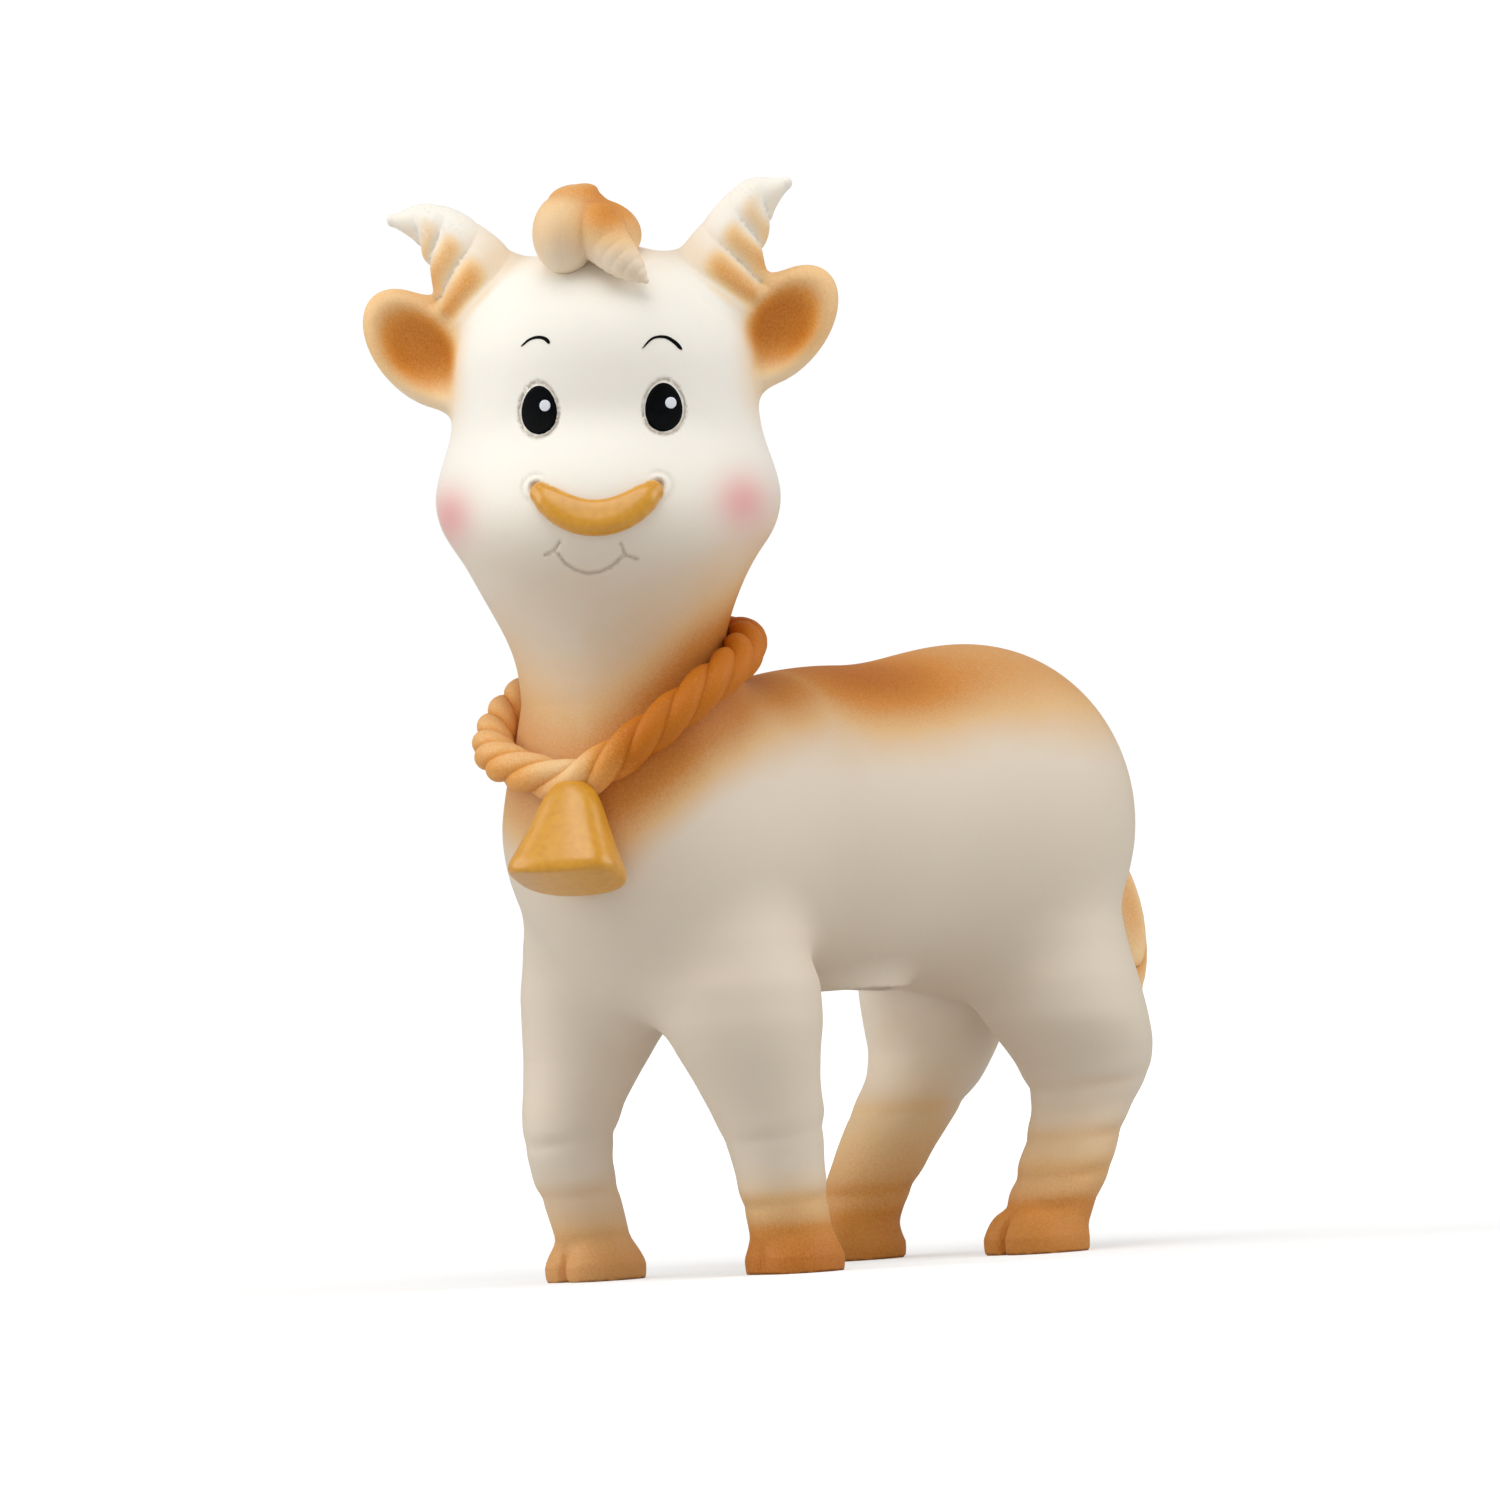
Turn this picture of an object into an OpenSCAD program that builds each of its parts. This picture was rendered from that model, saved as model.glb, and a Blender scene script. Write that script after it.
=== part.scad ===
// Hollow rubber squeaky toy: a standing young horned goat with a rope collar, a bell and a nose ring.
// Frame: +Z up, the trunk faces -Y, +X is the animal's left.
// The origin is on the ground under the middle.
// All sizes are in millimetres and all angles in degrees.

/* [Trunk] */
// Length of the trunk from chest to rump
trunk_length = 114.5; // [95:0.5:138]
// Width of the trunk at its widest
trunk_width = 50; // [44:1:60]
// Height of the belly above the ground
belly_height = 41; // [36:0.5:50]
// Height of the back, at its dip, above the ground
back_height = 88; // [80:0.5:98]
// How far the rump rises above the dip of the back
rump_rise = 4; // [0:0.5:8]
// Distance from the origin to the middle of the trunk, towards the rump
trunk_offset = 3.7; // [0:0.1:8]
// Thickness of the rubber skin
skin_wall = 3; // [2.5:0.1:3.6]

/* [Legs] */
// Distance between the middles of a left and a right leg
leg_spacing = 28; // [26:0.5:32]
// Radius of a leg at its ankle
ankle_radius = 6; // [5:0.1:7.2]
// Distance from the chest's front to the front left hoof's middle
front_left_setback = 34.5; // [33:0.5:42]
// How far the front right hoof steps ahead of the left one
front_step = 14.5; // [0:0.5:16]
// Distance from the rump's back to the hind left hoof's middle
hind_left_setback = 31; // [29:0.5:40]
// How far the hind right hoof steps ahead of the left one
hind_step = 11.3; // [0:0.1:14]
// Length of a hoof from toe to heel
hoof_length = 15; // [13:0.5:17]
// Width of a hoof over both toes
hoof_width = 14; // [12:0.5:16]
// Height of a hoof
hoof_height = 6.5; // [5:0.5:8]

/* [Neck] */
// Radius of the neck
neck_radius = 17.4; // [14.4:0.2:19]
// Distance from the chest's front to the neck's axis
neck_setback = 17.2; // [16:0.1:23]
// Height of the seam between trunk and head on the neck's axis
seam_height = 84; // [80:0.5:88]
// Tilt of the seam, lower at the bell
seam_tilt = 27; // [10:1:30]
// How far the head's spigot reaches into the trunk's neck
spigot_depth = 5; // [3:0.5:7]
// Thickness of the head's spigot
spigot_wall = 2; // [1.5:0.1:2.6]
// Gap between the spigot and the neck that it sits in
spigot_gap = 0.1; // [0.05:0.01:0.2]

/* [Head] */
// Height of the head from the chin to the crown
head_height = 55; // [46:0.5:66]
// Width of the head across the cheeks
head_width = 51; // [44:0.5:60]
// Depth of the head from the muzzle's front to the neck's axis
muzzle_reach = 30; // [27:0.5:36]
// Height of the chin above the ground
chin_height = 98; // [97:0.5:104]
// How far the head is turned to the animal's left
head_turn = 45; // [0:1:60]
// How far the crown leans to the animal's left
head_lean = 2; // [0:0.5:5]

/* [Horns and ears] */
// Radius of a horn at its base
horn_radius = 5; // [3.5:0.1:6]
// How far a horn reaches out sideways from its base
horn_span = 12; // [8:0.5:15]
// How far a horn reaches up from its base
horn_rise = 13; // [10:0.5:16]
// How far an ear reaches out from the side of the head
ear_reach = 13.2; // [10:0.2:17]
// Height of an ear
ear_height = 17; // [14:0.5:20]
// Thickness of an ear
ear_thickness = 4; // [3:0.1:5]
// Height of the forelock above the crown
forelock_rise = 9.6; // [7:0.1:13]

/* [Face] */
// Width of an eye's black oval
eye_width = 5; // [4:0.1:6]
// Height of an eye's black oval
eye_height = 6.8; // [5:0.1:8]
// Distance between the middles of the eyes
eye_spacing = 18.6; // [16:0.2:22]
// Width of the nose ring from end to end
ring_span = 18.6; // [15:0.2:22]
// Thickness of the nose ring at its middle
ring_thickness = 5.4; // [4:0.1:6.5]
// Thickness of an eye, a glint or a brow over the skin
film = 0.5; // [0.4:0.05:0.8]

/* [Collar and bell] */
// Radius of the collar's rope
rope_radius = 2.9; // [2.4:0.1:3.4]
// Depth of the groove between two strands
rope_groove = 0.5; // [0.2:0.05:0.7]
// Number of turns that the strands make round the collar
rope_turns = 11; // [8:1:13]
// Direction of the bell round the neck, from the trunk's front
bell_azimuth = 28; // [0:1:45]
// Height of the bell
bell_height = 16.5; // [13:0.5:20]
// Width of the bell at its mouth
bell_width = 17; // [13:0.5:20]
// Depth of the bell at its mouth
bell_depth = 12; // [9:0.5:14]

/* [Tail] */
// Length of the tail's tuft down the rump
tail_length = 30; // [22:0.5:36]
// Width of the tail's tuft
tail_width = 9; // [7:0.5:12]
// Thickness of the tail's tuft
tail_thickness = 5; // [3:0.5:6]
// How far the tail's tip swings to the animal's left
tail_swing = 8; // [0:0.5:10]

/* [Squeaker] */
// Outer radius of the squeaker's housing
housing_radius = 8.5; // [7:0.1:9.5]
// Height of the squeaker's housing
housing_height = 10; // [8:0.5:12]
// Thickness of the housing's wall and floor
housing_wall = 1.2; // [1:0.1:1.5]
// How far the housing's flange stands out
flange_reach = 1.8; // [1.2:0.1:2.4]
// Gap between the housing and the hole in the skin
housing_gap = 0.05; // [0.02:0.01:0.2]
// Radius of the reed holder
holder_radius = 2.6; // [2:0.1:3.2]
// Width of the reed
reed_width = 3.6; // [2.6:0.1:4]
// Thickness of the reed
reed_thickness = 0.3; // [0.2:0.05:0.4]
// Gap between the reed and the holder's flat face
reed_gap = 0.45; // [0.4:0.05:0.6]

/* [Hidden] */

IVORY = "#F3EEE2";
AMBER = "#D9964C";
GOLD = "#DDA344";
BLACK = "#101316";
GLINT = "#D8DEE6";
REED_WHITE = "#E9E9E4";

ROUND = 28;          // points round the trunk, the neck and the head
SLIM = 16;           // points round a leg, a horn or another slim piece
FINE = 48;           // points round the squeaker's circles
BONDED = 1.2;        // how deep a moulded-on piece is rooted in the skin
NECK_ROOT = 24;      // how far under the back's dip the neck starts inside the trunk
NECK_RISE = 20;      // how far over the seam the neck's bore is cut
SEAM_GAP = 0.05;     // gap between the trunk and the head at the seam
HOUSING_RECESS = 0.4;
FLANGE_DEPTH = 5;    // distance from the housing's floor to its flange
FLANGE_THICKNESS = 1;
SEAT_RIM = 2.5;      // width of the rubber boss round the squeaker's flange
SEAT_CUT = 15;       // length of each cut for the squeaker's seat

chest_y = trunk_offset - trunk_length / 2;
rump_y = trunk_offset + trunk_length / 2;
neck_y = chest_y + neck_setback;
belly_to_back = back_height - belly_height;
half_width = trunk_width / 2;
neck_bore = neck_radius - skin_wall;
spigot_radius = neck_bore - spigot_gap;
spigot_bore = spigot_radius - spigot_wall;
lean_pivot = chin_height + 0.35 * head_height;

// Trunk stations: share of the length, share of the half width, share of belly-to-back at the bottom
// and at the top, and share of the rump's rise.
TRUNK = [
    [0.000, 0.10, 0.50, 0.56, 0],
    [0.012, 0.36, 0.34, 0.70, 0],
    [0.045, 0.62, 0.19, 0.83, 0],
    [0.110, 0.84, 0.07, 0.95, 0],
    [0.220, 0.96, 0.02, 1.00, 0],
    [0.360, 0.98, 0.00, 1.00, 0],
    [0.520, 1.00, 0.00, 1.00, 0.15],
    [0.660, 1.03, 0.00, 1.00, 0.75],
    [0.770, 1.03, 0.00, 1.00, 1.00],
    [0.860, 0.97, 0.02, 0.96, 0.90],
    [0.930, 0.80, 0.10, 0.87, 0.70],
    [0.972, 0.58, 0.22, 0.77, 0.40],
    [0.992, 0.34, 0.35, 0.68, 0.10],
    [1.000, 0.10, 0.50, 0.56, 0]
];
TRUNK_STEPS = [
    0, 0.012, 0.045, 0.11, 0.18, 0.27, 0.36, 0.46, 0.56, 0.66, 0.74, 0.81, 0.87, 0.92, 0.96, 0.985, 1
];

// Leg stations: height, radius fore and aft, radius across, both as shares of the ankle's radius,
// and how far the leg's middle lies behind the hoof's.
FRONT_LEG = [
    [3, 1.03, 1.00, 0],
    [10, 0.95, 0.93, -1.2],
    [18, 1.10, 1.05, -3.4],
    [24, 1.24, 1.20, -4.2],
    [32, 1.62, 1.45, -4.6],
    [42, 1.90, 1.60, -5.0],
    [54, 1.10, 0.90, -4.0]
];
HIND_LEG = [
    [3, 1.05, 1.00, 0],
    [10, 1.12, 1.00, 3.2],
    [17, 1.20, 1.05, 7.2],
    [24, 1.42, 1.25, 11.2],
    [32, 1.85, 1.55, 12.0],
    [42, 2.20, 1.70, 9.5],
    [54, 1.20, 0.90, 5.0]
];
LEG_HEIGHTS = [3, 6.5, 10, 14, 18, 22, 27, 32, 38, 46, 54];

// Head stations: share of the head's height, share of the half width, reach to the front as a share of
// the muzzle's reach, and reach to the back as a share of the half width.
HEAD = [
    [0.00, 0.685, 0.56, 0.685],
    [0.12, 0.800, 0.77, 0.72],
    [0.23, 0.945, 0.97, 0.80],
    [0.35, 1.000, 1.00, 0.87],
    [0.46, 0.975, 0.91, 0.92],
    [0.58, 0.920, 0.80, 0.95],
    [0.73, 0.890, 0.765, 0.95],
    [0.86, 0.780, 0.68, 0.84],
    [0.95, 0.540, 0.47, 0.60],
    [1.00, 0.100, 0.08, 0.10]
];
HEAD_STEPS = [0.04, 0.1, 0.16, 0.23, 0.3, 0.38, 0.46, 0.55, 0.65, 0.75, 0.84, 0.91, 0.96, 1];

// Collar stations: angle from the bell round the neck, and height over the bell's top.
COLLAR = [
    [-130, 21.5], [-110, 17.5], [-90, 13], [-70, 8], [-27, 2.2], [0, 0], [20, 4], [65, 14.5], [110, 20],
    [180, 23], [230, 21.5], [250, 17.5]
];

// Bell stations: share of the height from the mouth, and share of the mouth's width.
BELL = [[0, 0.97], [0.08, 1], [0.3, 0.8], [0.55, 0.62], [0.8, 0.46], [0.94, 0.3], [1, 0.12]];

// ---- Interpolation and lofting --------------------------------------------------------------

function segment(table, x, i = 0) = i >= len(table) - 2 || x < table[i + 1][0] ? i : segment(table, x, i + 1);

function slope(table, column, i) =
    let (a = max(i - 1, 0), b = min(i + 1, len(table) - 1))
    (table[b][column] - table[a][column]) / (table[b][0] - table[a][0]);

// Smooth value of a table's column at x, passing through every station.
function value(table, x, column) =
    let (
        i = segment(table, x),
        width = table[i + 1][0] - table[i][0],
        t = (x - table[i][0]) / width,
        m0 = slope(table, column, i) * width,
        m1 = slope(table, column, i + 1) * width
    )
    (2 * t ^ 3 - 3 * t ^ 2 + 1) * table[i][column] + (t ^ 3 - 2 * t ^ 2 + t) * m0
        + (3 * t ^ 2 - 2 * t ^ 3) * table[i + 1][column] + (t ^ 3 - t ^ 2) * m1;

function unit(v) = v / norm(v);

// Ring of points round a point of a path: a is the radius along the side axis, b across it.
function path_ring(centre, ahead, up, a, b, points, grooves = 0, groove = 0, turn = 0) =
    let (side = unit(cross(ahead, up)), over = cross(side, ahead))
    [
        for (k = [0:points - 1])
            let (angle = 360 * k / points, swell = 1 + groove * (cos(grooves * (angle + turn)) - 1))
            centre + over * (a * swell * cos(angle)) + side * (b * swell * sin(angle))
    ];

function heading(path, i) = unit(path[min(i + 1, len(path) - 1)] - path[max(i - 1, 0)]);

// Closed solid through a list of rings with the same number of points, capped at both ends.
module loft(rings) {
    count = len(rings[0]);
    last = (len(rings) - 1) * count;
    sides = [
        for (j = [0:len(rings) - 2])
            for (i = [0:count - 1])
                let (a = j * count + i, b = j * count + (i + 1) % count)
                each [[a, b + count, b], [a, a + count, b + count]]
    ];
    start = [for (i = [0:count - 1]) i];
    end = [for (i = [count - 1:-1:0]) last + i];
    polyhedron([for (ring = rings) each ring], concat(sides, [start, end]), convexity = 8);
}

// Solid swept along a path with an elliptic section; sizes holds a pair of radii for each point.
module sweep(path, sizes, up = [0, 0, 1], points = SLIM) {
    loft([
        for (i = [0:len(path) - 1])
            path_ring(path[i], heading(path, i), up, sizes[i][0], sizes[i][1], points)
    ]);
}

// Ellipsoid at the origin.
module ellipsoid(x, y, z, points = SLIM) {
    rows = points / 2;
    loft([
        for (j = [0:rows])
            let (tilt = -90 + 4 + (180 - 8) * j / rows)
            [
                for (k = [0:points - 1])
                    let (angle = 360 * k / points)
                    [x * cos(tilt) * cos(angle), y * cos(tilt) * sin(angle), z * sin(tilt) / sin(86)]
            ]
    ]);
}

// ---- Trunk and legs -------------------------------------------------------------------------

function trunk_ring(share, inset) =
    let (
        a = half_width * value(TRUNK, share, 1) - inset,
        low = belly_height + belly_to_back * value(TRUNK, share, 2) + inset,
        crest = belly_height + belly_to_back * value(TRUNK, share, 3),
        high = crest + rump_rise * value(TRUNK, share, 4) - inset,
        squeeze = inset * 2 / trunk_length,
        y = trunk_offset + trunk_length * (share - 0.5) * (1 - squeeze)
    )
    [
        for (k = [0:ROUND - 1])
            let (angle = 360 * k / ROUND)
            [max(a, 0.6) * cos(angle), y, (low + high) / 2 - max((high - low) / 2, 0.6) * sin(angle)]
    ];

module trunk_solid(inset = 0) {
    loft([for (share = TRUNK_STEPS) trunk_ring(share, inset)]);
}

function leg_ring(stations, hoof, height) =
    [
        for (k = [0:SLIM - 1])
            let (angle = 360 * k / SLIM)
            [
                hoof[0] * (height > 30 ? 1 - 0.05 * (height - 30) / 12 : 1)
                    + ankle_radius * value(stations, height, 2) * cos(angle),
                hoof[1] + value(stations, height, 3) + ankle_radius * value(stations, height, 1) * sin(angle),
                height
            ]
    ];

module leg(stations, hoof) {
    loft([for (height = LEG_HEIGHTS) leg_ring(stations, hoof, height)]);
}

// One toe of a cloven hoof, flat on the ground.
module toe(side) {
    translate([side * hoof_width * 0.24, 0, 0])
        hull() {
            linear_extrude(0.6)
                scale([hoof_width * 0.26, hoof_length / 2]) circle(r = 1, $fn = SLIM);
            translate([0, 0.6, hoof_height - 1])
                linear_extrude(1)
                    scale([hoof_width * 0.23, hoof_length * 0.42]) circle(r = 1, $fn = SLIM);
        }
}

HOOVES = [
    [leg_spacing / 2, chest_y + front_left_setback],
    [-leg_spacing / 2, chest_y + front_left_setback - front_step],
    [leg_spacing / 2, rump_y - hind_left_setback],
    [-leg_spacing / 2, rump_y - hind_left_setback - hind_step]
];

module legs() {
    for (i = [0:3]) {
        leg(i < 2 ? FRONT_LEG : HIND_LEG, HOOVES[i]);
        for (side = [-1, 1])
            translate([HOOVES[i][0], HOOVES[i][1], 0]) toe(side);
    }
}

// ---- Neck seam ------------------------------------------------------------------------------

// Height of the tilted seam over a point that lies x, y from the neck's axis.
function seam_z(x, y) = seam_height + tan(seam_tilt) * (-x * sin(bell_azimuth) + y * cos(bell_azimuth));

function neck_ring(radius, height) =
    [for (k = [0:ROUND - 1]) [radius * cos(360 * k / ROUND), neck_y + radius * sin(360 * k / ROUND), height]];

function seam_ring(radius, drop = 0) =
    [
        for (k = [0:ROUND - 1])
            let (x = radius * cos(360 * k / ROUND), y = radius * sin(360 * k / ROUND))
            [x, neck_y + y, seam_z(x, y) - drop]
    ];

// Hole for the squeaker in the belly, with a seat for its flange.
squeaker_y = trunk_offset;
flange_radius = housing_radius + flange_reach;
housing_z = belly_height + HOUSING_RECESS;
flange_z = housing_z + FLANGE_DEPTH;
boss_radius = flange_radius + SEAT_RIM;

module squeaker_hole() {
    translate([0, squeaker_y, 0]) {
        translate([0, 0, belly_height - 5])
            cylinder(r = (housing_radius + housing_gap) / cos(180 / FINE), h = SEAT_CUT, $fn = FINE);
        translate([0, 0, flange_z])
            cylinder(r = (flange_radius + housing_gap) / cos(180 / FINE), h = SEAT_CUT, $fn = FINE);
    }
}

module body_skin() {
    color(IVORY)
        difference() {
            union() {
                difference() {
                    union() {
                        trunk_solid();
                        legs();
                        loft([neck_ring(neck_radius, back_height - NECK_ROOT), seam_ring(neck_radius)]);
                    }
                    trunk_solid(skin_wall);
                    loft([
                        neck_ring(neck_bore, back_height - NECK_ROOT + 4),
                        neck_ring(neck_bore, seam_height + NECK_RISE)
                    ]);
                    loft([
                        seam_ring(neck_radius + spigot_gap, SEAM_GAP),
                        neck_ring(neck_radius + spigot_gap, seam_height + NECK_RISE)
                    ]);
                }
                intersection() {
                    translate([0, squeaker_y, belly_height])
                        cylinder(r = boss_radius, h = flange_z + 1 - belly_height, $fn = FINE);
                    trunk_solid();
                }
            }
            squeaker_hole();
        }
}

// ---- Head -----------------------------------------------------------------------------------

function head_z(share) = chin_height + head_height * share;
function head_side(share) = head_width / 2 * value(HEAD, share, 1);
function head_front(share) = muzzle_reach * value(HEAD, share, 2);
function head_back(share) = head_width / 2 * value(HEAD, share, 3);

// A point of the head's own frame, which faces -Y before its turn and lean, placed on the neck.
function turned(p) =
    let (
        x = p[0] * cos(head_lean) + (p[2] - lean_pivot) * sin(head_lean),
        z = lean_pivot + (p[2] - lean_pivot) * cos(head_lean) - p[0] * sin(head_lean)
    )
    [x * cos(head_turn) - p[1] * sin(head_turn), neck_y + x * sin(head_turn) + p[1] * cos(head_turn), z];

function head_ring(share, inset) =
    [
        for (k = [0:ROUND - 1])
            let (
                angle = 360 * k / ROUND - head_turn,
                side = max(head_side(share) - inset, 0.6),
                reach = max((sin(angle) < 0 ? head_front(share) : head_back(share)) - inset, 0.6)
            )
            turned([side * cos(angle), reach * sin(angle), head_z(share) - inset * share])
    ];

// Point of the head's surface at a share of its height and a distance to the side, in the head's frame.
function face_point(share, x) =
    [x, -head_front(share) * sqrt(1 - (x / head_side(share)) ^ 2), head_z(share)];

// Yaw of the surface there, from straight ahead.
function face_yaw(share, x) =
    atan2(x / head_side(share) ^ 2, -face_point(share, x)[1] / head_front(share) ^ 2);

module head_frame() {
    translate([0, neck_y, 0])
        rotate([0, 0, head_turn])
            translate([0, 0, lean_pivot])
                rotate([0, head_lean, 0])
                    translate([0, 0, -lean_pivot]) children();
}

// Children sit on the face, with -Y pointing straight out of the surface there.
module on_face(share, x, pitch = 0) {
    head_frame()
        translate(face_point(share, x))
            rotate([pitch, 0, face_yaw(share, x)]) children();
}

module head_skin() {
    steps = len(HEAD_STEPS);
    inner = [for (i = [steps - 1:-1:1]) head_ring(HEAD_STEPS[i], skin_wall)];
    outer = [for (share = HEAD_STEPS) head_ring(share, 0)];
    bottom = [
        seam_ring(spigot_bore),
        seam_ring(spigot_bore, spigot_depth),
        seam_ring(spigot_radius, spigot_depth),
        seam_ring(spigot_radius),
        seam_ring(neck_radius)
    ];
    color(IVORY) loft(concat(inner, bottom, outer));
}

// ---- Horns, ears and forelock ---------------------------------------------------------------

HORN_SHARE = 0.9;    // height of a horn's root on the head
EAR_SHARE = 0.77;    // height of an ear's root on the head

module horn(side) {
    steps = 10;
    root = [side * head_side(HORN_SHARE) * 0.86, 1.5, head_z(HORN_SHARE)];
    path = [
        for (i = [0:steps])
            let (t = i / steps)
            root + [
                side * horn_span * (0.55 * t + 0.45 * t ^ 3),
                0,
                horn_rise * (1.35 * t - 0.35 * t ^ 3) - BONDED
            ]
    ];
    sizes = [
        for (i = [0:steps])
            let (r = horn_radius * (1 - 0.86 * (i / steps) ^ 1.2) * (1 + 0.05 * (i % 2)))
            [r, r]
    ];
    color(IVORY) head_frame() sweep(path, sizes, [0, 1, 0], 12);
}

module ear(side) {
    steps = 8;
    root = [side * (head_side(EAR_SHARE) - BONDED), 3, head_z(EAR_SHARE)];
    path = [
        for (i = [0:steps])
            let (t = i / steps)
            root + [side * (ear_reach + BONDED) * t, -2 * t ^ 2, 2.5 * sin(90 * t) - 1]
    ];
    sizes = [
        for (i = [0:steps])
            let (t = i / steps, swell = sin(180 * (0.16 + 0.8 * t)) ^ 0.6)
            [ear_height / 2 * swell, ear_thickness / 2 * (0.55 + 0.45 * swell)]
    ];
    color(AMBER) head_frame() sweep(path, sizes, [0, 0, 1]);
}

FORELOCK_RADIUS = 6.2;
FORELOCK_BACK = 4;   // how far behind the neck's axis the forelock starts

module forelock() {
    steps = 10;
    root_z = head_z(0.93);
    rise = chin_height + head_height + forelock_rise - root_z;
    path = [
        for (i = [0:steps])
            let (t = i / steps)
            [
                3 * t,
                FORELOCK_BACK - (head_front(0.86) + 2) * t,
                root_z + (rise - FORELOCK_RADIUS) * sin(180 * (0.22 + 0.66 * t))
            ]
    ];
    sizes = [
        for (i = [0:steps])
            let (t = i / steps, r = FORELOCK_RADIUS * sin(180 * (0.2 + 0.76 * t)) ^ 0.5)
            [r, r * 1.35]
    ];
    color(IVORY) head_frame() sweep(path, sizes, [0, 0, 1]);
}

// ---- Face -----------------------------------------------------------------------------------

RING_SHARE = 0.29;   // height of the nose ring's middle on the head
EYE_SHARE = 0.56;    // height of the eyes on the head
BROW_SHARE = 0.74;   // height of the brows on the head
RING_CURVE = 4.2;    // how far the nose ring's ends rise over its middle
RING_DROP = 1.4;     // how far its middle hangs under its place on the head
GLINT_RADIUS = 0.85;
BROW_HALF = 2.4;     // half the length of a brow
BROW_ARCH = 1.3;     // how far a brow's middle rises
BROW_STROKE = 0.38;  // half the width of a brow's thick end

module nose_ring() {
    steps = 14;
    reach = ring_span / 2 - 1;
    path = [
        for (i = [0:steps])
            let (x = reach * (2 * i / steps - 1), p = face_point(RING_SHARE, x))
            p + [0, -BONDED, RING_CURVE * (x / reach) ^ 2 - RING_DROP]
    ];
    sizes = [
        for (i = [0:steps])
            let (x = 2 * i / steps - 1, r = ring_thickness / 2 * (1 - 0.72 * abs(x) ^ 2.6))
            [r, r * 0.9]
    ];
    color(GOLD) head_frame() sweep(path, sizes, [0, 0, 1], 12);
}

module eye(side) {
    color(BLACK)
        on_face(EYE_SHARE, side * eye_spacing / 2)
            ellipsoid(eye_width / 2, film, eye_height / 2, 20);
}

module eye_glint(side) {
    color(GLINT)
        on_face(EYE_SHARE, side * eye_spacing / 2)
            translate([eye_width * 0.17, -film * 1.5, eye_height * 0.08])
                ellipsoid(GLINT_RADIUS, film / 2, GLINT_RADIUS, 12);
}

module brow(side) {
    steps = 8;
    base = face_point(BROW_SHARE, side * (eye_spacing / 2 + 0.4));
    path = [
        for (i = [0:steps])
            let (x = BROW_HALF * (2 * i / steps - 1), p = face_point(BROW_SHARE, base[0] + x))
            p + [0, 0, BROW_ARCH * (1 - (x / BROW_HALF) ^ 2)]
    ];
    sizes = [for (i = [0:steps]) [BROW_STROKE * (0.55 + 0.45 * i / steps), film]];
    color(BLACK) head_frame() sweep(path, sizes, [0, 0, 1], 8);
}

// ---- Collar and bell ------------------------------------------------------------------------

COLLAR_DROP = 10.3;  // height of the seam over the collar's lowest point
ROPE_SEAT = 0.8;     // share of the rope's radius that stands out from the neck
BELL_OUT = 1.9;      // distance of the bell's middle in front of the rope's

collar_height = seam_height - COLLAR_DROP;
collar_radius = neck_radius + rope_radius * ROPE_SEAT;

function collar_point(turn) =
    let (angle = turn > 240 ? turn - 360 : turn, azimuth = angle + bell_azimuth)
    [
        collar_radius * sin(azimuth),
        neck_y - collar_radius * cos(azimuth),
        collar_height + value(COLLAR, angle, 1)
    ];

module rope_collar() {
    steps = 104;
    points = 12;
    path = [for (i = [0:steps - 1]) collar_point(360 * i / steps)];
    rings = [
        for (i = [0:steps - 1])
            let (ahead = unit(path[(i + 1) % steps] - path[(i + steps - 1) % steps]))
            path_ring(path[i], ahead, [0, 0, 1], rope_radius, rope_radius, points, 2,
                rope_groove / rope_radius / 2, 360 * rope_turns * i / steps)
    ];
    sides = [
        for (j = [0:steps - 1])
            for (i = [0:points - 1])
                let (
                    a = j * points + i,
                    b = j * points + (i + 1) % points,
                    c = (j + 1) % steps * points + (i + 1) % points,
                    d = (j + 1) % steps * points + i
                )
                each [[a, c, b], [a, d, c]]
    ];
    color(AMBER) polyhedron([for (ring = rings) each ring], sides, convexity = 8);
}

module bell() {
    rings = [
        for (station = BELL)
            [
                for (k = [0:23])
                    let (angle = 15 * k)
                    [
                        bell_width / 2 * station[1] * cos(angle),
                        bell_depth / 2 * station[1] * sin(angle) - 1.6 * (1 - station[0]),
                        bell_height * station[0]
                    ]
            ]
    ];
    color(GOLD)
        translate([0, neck_y, 0])
            rotate([0, 0, bell_azimuth])
                translate([0, -collar_radius - BELL_OUT, collar_height - bell_height + 1]) loft(rings);
}

// ---- Tail -----------------------------------------------------------------------------------

TAIL_ROOT = 22;      // how far under the back's dip the tail starts
TAIL_TUCK = 6;       // how far its tip is tucked in under the rump

module tail() {
    steps = 10;
    path = [
        for (i = [0:steps])
            let (t = i / steps)
            [
                tail_swing * t,
                rump_y - film - TAIL_TUCK * t ^ 1.3,
                back_height - TAIL_ROOT - tail_length * t
            ]
    ];
    sizes = [
        for (i = [0:steps])
            let (t = i / steps, swell = sin(180 * (0.06 + 0.88 * t ^ 0.8)) ^ 0.7)
            [tail_width / 2 * swell, tail_thickness / 2 * (0.4 + 0.6 * swell)]
    ];
    color(IVORY) sweep(path, sizes, [1, 0, 0], 12);
}

// ---- Squeaker -------------------------------------------------------------------------------

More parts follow.
